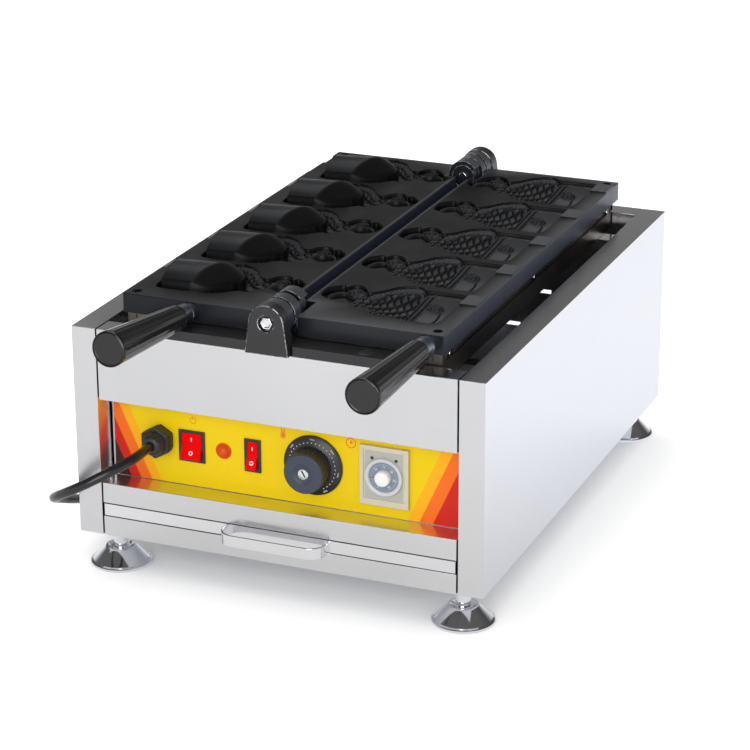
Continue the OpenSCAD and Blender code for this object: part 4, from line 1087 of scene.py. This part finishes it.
# %% Switches
for name in ("power", "alarm"):
    dressed(name + "_switch_body", 0.5, steps=3)
    dressed(name + "_rocker", 0.6, steps=3)
rocker_tilt = math.radians(11)
pivot_y = (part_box("power_rocker")[1][1] - front_y) / MM - 7.6
for name, x, half in (("power", power_x, 12.3), ("alarm", alarm_x, 12.9)):
    marks = bmesh.new()
    for sign, upper in (("I", 1), ("O", -1)):
        slope = math.atan2(2.5, half) * upper
        tilted = (Matrix.Translation(at(x, pivot_y, control_z))
                  @ Matrix.Rotation(-rocker_tilt, 4, "X"))
        place = (moved(tilted, 0, -2.22, 0.52 * half * upper)
                 @ Matrix.Rotation(slope + math.radians(90), 4, "X"))
        if sign == "I":
            bar(marks, place, 0.9, 3.6, 0.12)
        else:
            ring(marks, place, 1.2, 2.0, 0.12, 32)
    finished(name + "_rocker_marks", marks, name + "_rocker", slot="white_plastic")
print("switch marks at pivot", round(pivot_y, 2), "mm behind the front")

# %% Pilot lamp
lamp_line = [(0, -24), (6, -24), (6, 0), (7.3, 0), (7.6, 0.4), (7.6, 1.2), (7.1, 1.9), (6.4, 2),
             (6, 1.7), (5.8, 2.6), (5, 3.4), (4.6, 3.3), (4.2, 3.9), (3.2, 4.3), (2.9, 4.2),
             (2.4, 4.6), (1.2, 4.8), (0, 4.8)]
turned("pilot_lamp_turned", lamp_line, facing(lamp_x, film_y, control_z), "base", "pilot_lamp")
print("lamp made")

# %% Temperature dial
dial_place = facing(dial_x, film_y - 0.5, control_z)
dial = bmesh.new()
spun(dial, [(3, 0.3), (28.2, 0), (28.7, 0.4), (28.7, 1.2), (26.9, 3), (21.4, 4), (20.2, 4.6),
            (19.2, 5.4), (3, 5.4), (3, 0.3)], dial_place, 96)
fluted(dial, dial_place, 19.8, 19.2, 5, 17.4, 30, 0.8, 0.3)
finished("temperature_knob", dial, "temperature_dial", "temp_knob")
face_line = [(0, 20), (18.7, 20), (19.0, 22.4), (18.9, 23.2), (18.5, 23.8), (17.9, 24.1),
             (9.9, 24.1), (9.5, 23.9), (8.2, 23.0), (7, 22.7), (0, 22.7)]
turned("temperature_knob_face", face_line, dial_place, "temperature_dial",
       slot="black_plastic", finish="knob_grey", steps=72)
screw_line = [(0, 22), (5, 22), (5, 23.6), (4.7, 23.9), (4.1, 23.9), (3.8, 23.6), (3.6, 22.9),
              (0, 22.9)]
turned("temperature_knob_screw", screw_line, dial_place, "temperature_dial",
       slot="polished_steel", steps=48)
# The screw's slot is a flat black bar laid in its dish: painted shade in place of a groove.
dial_slot_shade = bmesh.new()
bar(dial_slot_shade, moved(dial_place, 0, 0, 22.95) @ Matrix.Rotation(0.5, 4, "Z"), 1.5, 6.6, 0.2)
finished("temperature_knob_slot_shade", dial_slot_shade, "temperature_dial", slot="black_plastic")
dressed("thermostat_shaft", 0.2)
skirt_slope = Matrix.Rotation(math.atan2(1, 5.4), 4, "X")
scale = bmesh.new()
for number in range(0, 301, 10):
    angle = number - 150
    place = round_about(dial_place, angle, 22.6, 3.80) @ skirt_slope
    spun(scale, [(0, -0.05), (0.62, -0.05), (0.62, 0.05), (0, 0.05)], place, 12)
    if not number % 50:
        lettering(scale, str(number), 2.3,
                  round_about(dial_place, angle, 25.2, 3.33) @ skirt_slope)
finished("temperature_scale", scale, "temperature_dial", slot="white_plastic")
print("dial made")

# %% Timer
timer_place = facing(timer_x, film_y - 2.5, control_z)
dressed("timer_frame", 0.6, steps=3)
dressed("timer_body")
dressed("timer_scale", 0.2)
timer_plate = bmesh.new()
spun(timer_plate, [(0, -1.5), (13.3, -1.5), (13.4, -1), (13.2, 0.6), (12.8, 1), (0, 1.2)],
     timer_place, 72)
spun(timer_plate, [(0, -20.9), (3, -20.9), (3, -1.4), (0, -1.4)], timer_place, 32)
finished("timer_dial_plate", timer_plate, "timer_dial", "timer_knob", finish="scale_print")
knob_line = [(0, 0.8), (7.2, 0.8), (7.4, 1.4), (7, 6.6), (6.6, 7.2), (6, 7.5), (2.6, 7.5),
             (2.4, 7.2), (0, 7.2)]
turned("timer_knob_turned", knob_line, timer_place, "timer_dial", slot="white_plastic")
ring_line = [(14.2, 0), (18, 0), (18, 2.4), (17.6, 3), (16.9, 3.2), (15.3, 2.9), (14.4, 2.2),
             (14.2, 1.6), (14.2, 0)]
turned("timer_ring", ring_line, timer_place, "base", slot="white_plastic",
       finish="milky_ring", steps=72)
timer_panel = bmesh.new()
bar(timer_panel, facing(timer_x - 0.5, film_y - 2.6, control_z), 36.5, 47, 0.24, 1)
finished("timer_panel", timer_panel, "base", slot="cream_plastic", finish="timer_grey")
timer_print = bmesh.new()
for minute in range(31):
    angle = minute * 10 - 150
    width, length = (0.25, 0.8) if minute % 5 else (0.45, 1.3)
    bar(timer_print, round_about(timer_place, angle, 11.9, 1.16), width, length)
    if not minute % 5:
        lettering(timer_print, str(minute), 1.9, round_about(timer_place, angle, 9.6, 1.24))
finished("timer_marks", timer_print, "timer_dial", slot="white_plastic")
timer_pointer = bmesh.new()
bar(timer_pointer, round_about(timer_place, -98, 10, 1.34), 0.9, 5, 0.12)
finished("timer_pointer", timer_pointer, "timer_dial", slot="red_plastic")
timer_dots = bmesh.new()
for x in (timer_x - 11.5, timer_x + 11.5):
    spun(timer_dots, [(0, 0), (1.4, 0), (1.4, 0.5), (0, 0.8)],
         facing(x, film_y - 3.0, control_z + 17), 24)
finished("timer_dots", timer_dots, "base", slot="black_plastic")
print("timer made")

# %% [markdown]
# ## Signs on the film
# Instead of words the film carries plain signs: a thermometer by the dial, a clock by the timer
# and a power sign. They are flat prints, a fraction of a millimetre thick.

# %% Signs
signs = bmesh.new()
clock_place = facing(64.8, film_y - 0.05, 156.2)
ring(signs, clock_place, 4.1, 5.0)
ring(signs, clock_place, 0, 0.8, steps=16)
bar(signs, round_about(clock_place, 0, 1.5), 0.7, 3)
bar(signs, round_about(clock_place, 65, 1.2), 0.7, 2.4)
bulb_place = facing(-1.5, film_y - 0.05, 153.2)
ring(signs, bulb_place, 0, 1.5, steps=24)
ring(signs, bulb_place, 2.0, 2.7, steps=32)
for x, y, length in ((-1.6, 6.1, 8.2), (1.6, 6.1, 8.2), (0, 3.6, 5)):
    bar(signs, moved(bulb_place, x, y), 0.7, length)
power_place = facing(power_x + 1.2, film_y - 0.05, 154.5)
ring(signs, power_place, 2.5, 3.1, steps=32)
bar(signs, moved(power_place, 0, 2.4), 0.6, 3)
finished("film_signs", signs, "base", slot="label_film", finish="sign_print")
print("signs printed")

# %% [markdown]
# ## Inside the body
# The parts that the sheets hide are dressed too, because the moulds and the drawer open.

# %% Hidden parts
for node in ("thermostat_body", "terminal_block", "contactor", "buzzer"):
    dressed(node)
dressed("control_label", 0.05)
dressed("mains_plug")
print("hidden parts dressed")

# %% [markdown]
# ## The coil's tie
# A soft band holds the coiled turns together. It is a flat ring round the four strands at the
# far side of the coil.

# %% Tie
tie_place = (Matrix.Translation(at(coil_middle[0] - coil_radius + 7, coil_middle[1], 10.15))
             @ Matrix.Rotation(math.radians(90), 4, "X"))
tie = bmesh.new()
made = bmesh.ops.create_cube(tie, size=MM)["verts"]
bmesh.ops.scale(tie, verts=made, vec=(19.9, 19.9, 9))
ends = [face for face in tie.faces if abs(face.normal.z) > 0.5]
bmesh.ops.delete(tie, geom=ends, context="FACES_ONLY")
rounded(tie, upright(tie), 4.6 * MM, 5)
bmesh.ops.recalc_face_normals(tie, faces=tie.faces)
bmesh.ops.solidify(tie, geom=tie.faces[:], thickness=0.6 * MM)
bmesh.ops.transform(tie, matrix=tie_place, verts=tie.verts)
finished("cord_tie", tie, "base", slot="cord_rubber")
dressings[mains_lead] = "cord_rubber"
tuple(at(-124.5, 0, 132.5))

# %% [markdown]
# ## Finishes
# The remaining finishes: plastics with a faint moulded skin, the film's yellow, rubber.

# %% Other finishes


def moulded(name, colour, rough, specular=0.5, metallic=0.0):
    """Moulded plastic: even colour, a faint skin and patches of slightly different gloss"""
    plastic = Finish(name)
    skin = plastic.noise(900, 2)
    patches = plastic.noise(30)
    tone = plastic.mix(patches, tuple(0.9 * part for part in colour), colour)
    return plastic.surface(base_color=tone,
                           roughness=plastic.band(patches, 0.3, 0.7, rough - 0.04, rough + 0.05),
                           normal=plastic.bump(skin, 0.00003, 0.35), specular_ior_level=specular,
                           metallic=metallic)


def printed_film():
    """Yellow film with slanted bands of print towards both of its ends"""
    film = Finish("label_film")
    across = film.part(film.coordinates(), "X")
    height = film.part(film.coordinates(), "Z")
    amber, orange = (0.93, 0.42, 0.01), (0.88, 0.16, 0.015)
    red, brown = (0.62, 0.02, 0.012), (0.05, 0.018, 0.015)
    yellow = (0.81, 0.57, 0.003)
    from_left = across + height * 0.45 + 0.125
    left = film.node("ShaderNodeValToRGB", {"stops": (
        (0.0, brown), (0.17, brown), (0.19, red), (0.37, red), (0.39, orange), (0.60, orange),
        (0.62, amber), (0.80, amber), (0.82, yellow), (1.0, yellow))}, {"Fac": from_left * 20})
    from_right = 0.115 - across + height * 0.45
    right = film.node("ShaderNodeValToRGB", {"stops": (
        (0.0, red), (0.30, red), (0.32, orange), (0.62, orange), (0.64, amber), (0.90, amber),
        (0.92, yellow), (1.0, yellow))}, {"Fac": from_right * 25})
    return film.surface(base_color=film.mix(across > 0, left, right), specular_ior_level=0.2,
                        roughness=film.band(film.noise(20), 0.3, 0.7, 0.26, 0.36))


finishes["label_film"] = printed_film()
for name, *look in (
        ("collar_metal", (0.30, 0.33, 0.38), 0.32, 0.5, 1.0),
        ("black_grip", (0.012, 0.012, 0.013), 0.19),
        ("black_plastic", (0.020, 0.020, 0.022), 0.38),
        ("red_plastic", (0.80, 0.0005, 0.0008), 0.30, 0.06),
        ("orange_lens", (0.70, 0.075, 0.006), 0.22, 0.25),
        ("cream_plastic", (0.62, 0.57, 0.43), 0.40),
        ("timer_grey", (0.44, 0.44, 0.39), 0.40),
        ("milky_ring", (0.58, 0.59, 0.58), 0.18),
        ("scale_print", (0.20, 0.25, 0.32), 0.35),
        ("sign_print", (0.80, 0.13, 0.02), 0.40),
        ("knob_grey", (0.036, 0.046, 0.070), 0.42),
        ("white_plastic", (0.84, 0.84, 0.82), 0.34),
        ("cord_rubber", (0.014, 0.014, 0.016), 0.24)):
    finishes[name] = moulded(name, *look)
for piece, slot in dressings.items():
    piece.data.materials.clear()
    piece.data.materials.append(finishes[slot])
print("finishes:", ", ".join(sorted(finishes)))

# %% [markdown]
# ## Floor, world and lamps
# The photograph was cut out on white with a soft shadow. The floor is a plain pale plane that
# keeps the shadow, and a little glow that only the camera and reflections see lifts it to white.
# The glow that the camera sees is dimmed by ambient occlusion near the body, a painted contact
# shadow, and the glow in reflections grows brighter and bluer towards the back, a painted
# reflection.
# The world is white to the camera and an even pale grey as light. In reflections it is a
# studio: bright at the horizon and dark overhead, which is what makes flat steel and black
# castings look deep from above.

# %% Floor
floor_shape = bmesh.new()
bmesh.ops.create_grid(floor_shape, x_segments=1, y_segments=1, size=4)
floor = added("floor", meshed("floor", floor_shape))
ground = Finish("floor")
to_camera = ground.ray("Camera")
to_gloss = ground.ray("Glossy")
# Painted reflection: the floor that steel reflects glows brighter and bluer towards the back.
far = ground.band(ground.part(ground.coordinates(), "Y"), -0.40, 0.30)
paint = ground.node("ShaderNodeBsdfDiffuse", inputs={"Color": (0.80, 0.80, 0.80)})
# Painted contact shadow: ambient occlusion dims the glow that the camera sees near the body.
painted_contact_shadow = ground.node("ShaderNodeAmbientOcclusion", {"samples": 8}, {"Distance": 0.12}, "AO")
glow = ground.node("ShaderNodeEmission", inputs={
    "Color": ground.mix(to_gloss, (1.0, 1.0, 1.0), (0.89, 0.95, 1.08)),
    "Strength": to_camera * painted_contact_shadow * 0.57 + to_gloss * (far * 0.38 + 0.05)})
both = ground.node("ShaderNodeAddShader", inputs={0: paint, 1: glow})
ground.node("ShaderNodeOutputMaterial", inputs={"Surface": both})
floor.data.materials.append(ground.owner)
print("floor laid")

# %% World
sky = Finish("studio", bpy.data.worlds)
bpy.context.scene.world = sky.owner
direction = sky.coordinates("Generated")
room_above = sky.band(sky.part(direction, "Z"), 0.02, 0.42)
behind = sky.band(sky.part(direction, "Y"), 0.2, 0.8)
seen_in_gloss = (1.0 - room_above * 0.90) * (1.0 - behind * 0.35)
camera_ray = sky.ray("Camera")
gloss_ray = sky.ray("Glossy")
strength = camera_ray + gloss_ray * seen_in_gloss + (1 - camera_ray) * (1 - gloss_ray) * 0.80
light = sky.node("ShaderNodeBackground", inputs={"Color": (1.0, 1.0, 1.0), "Strength": strength})
sky.node("ShaderNodeOutputWorld", inputs={"Surface": light})
print("studio lit")

# %% Lamps
for name, place, aim, size, power in (
        ("key", (-0.7, 0.9, 1.8), (0, 0, 0.2), 1.2, 5),
        ("front", (0.3, -2.3, 0.9), (0, 0, 0.12), 1.5, 26)):
    glow = bpy.data.lights.new(name, "AREA")
    glow.size = size
    glow.energy = power
    added(name, glow).matrix_world = (
        Matrix.Translation(place)
        @ (Vector(aim) - Vector(place)).to_track_quat("-Z", "Y").to_matrix().to_4x4())
bpy.context.scene.view_settings.view_transform = "Standard"
print("lamps placed")
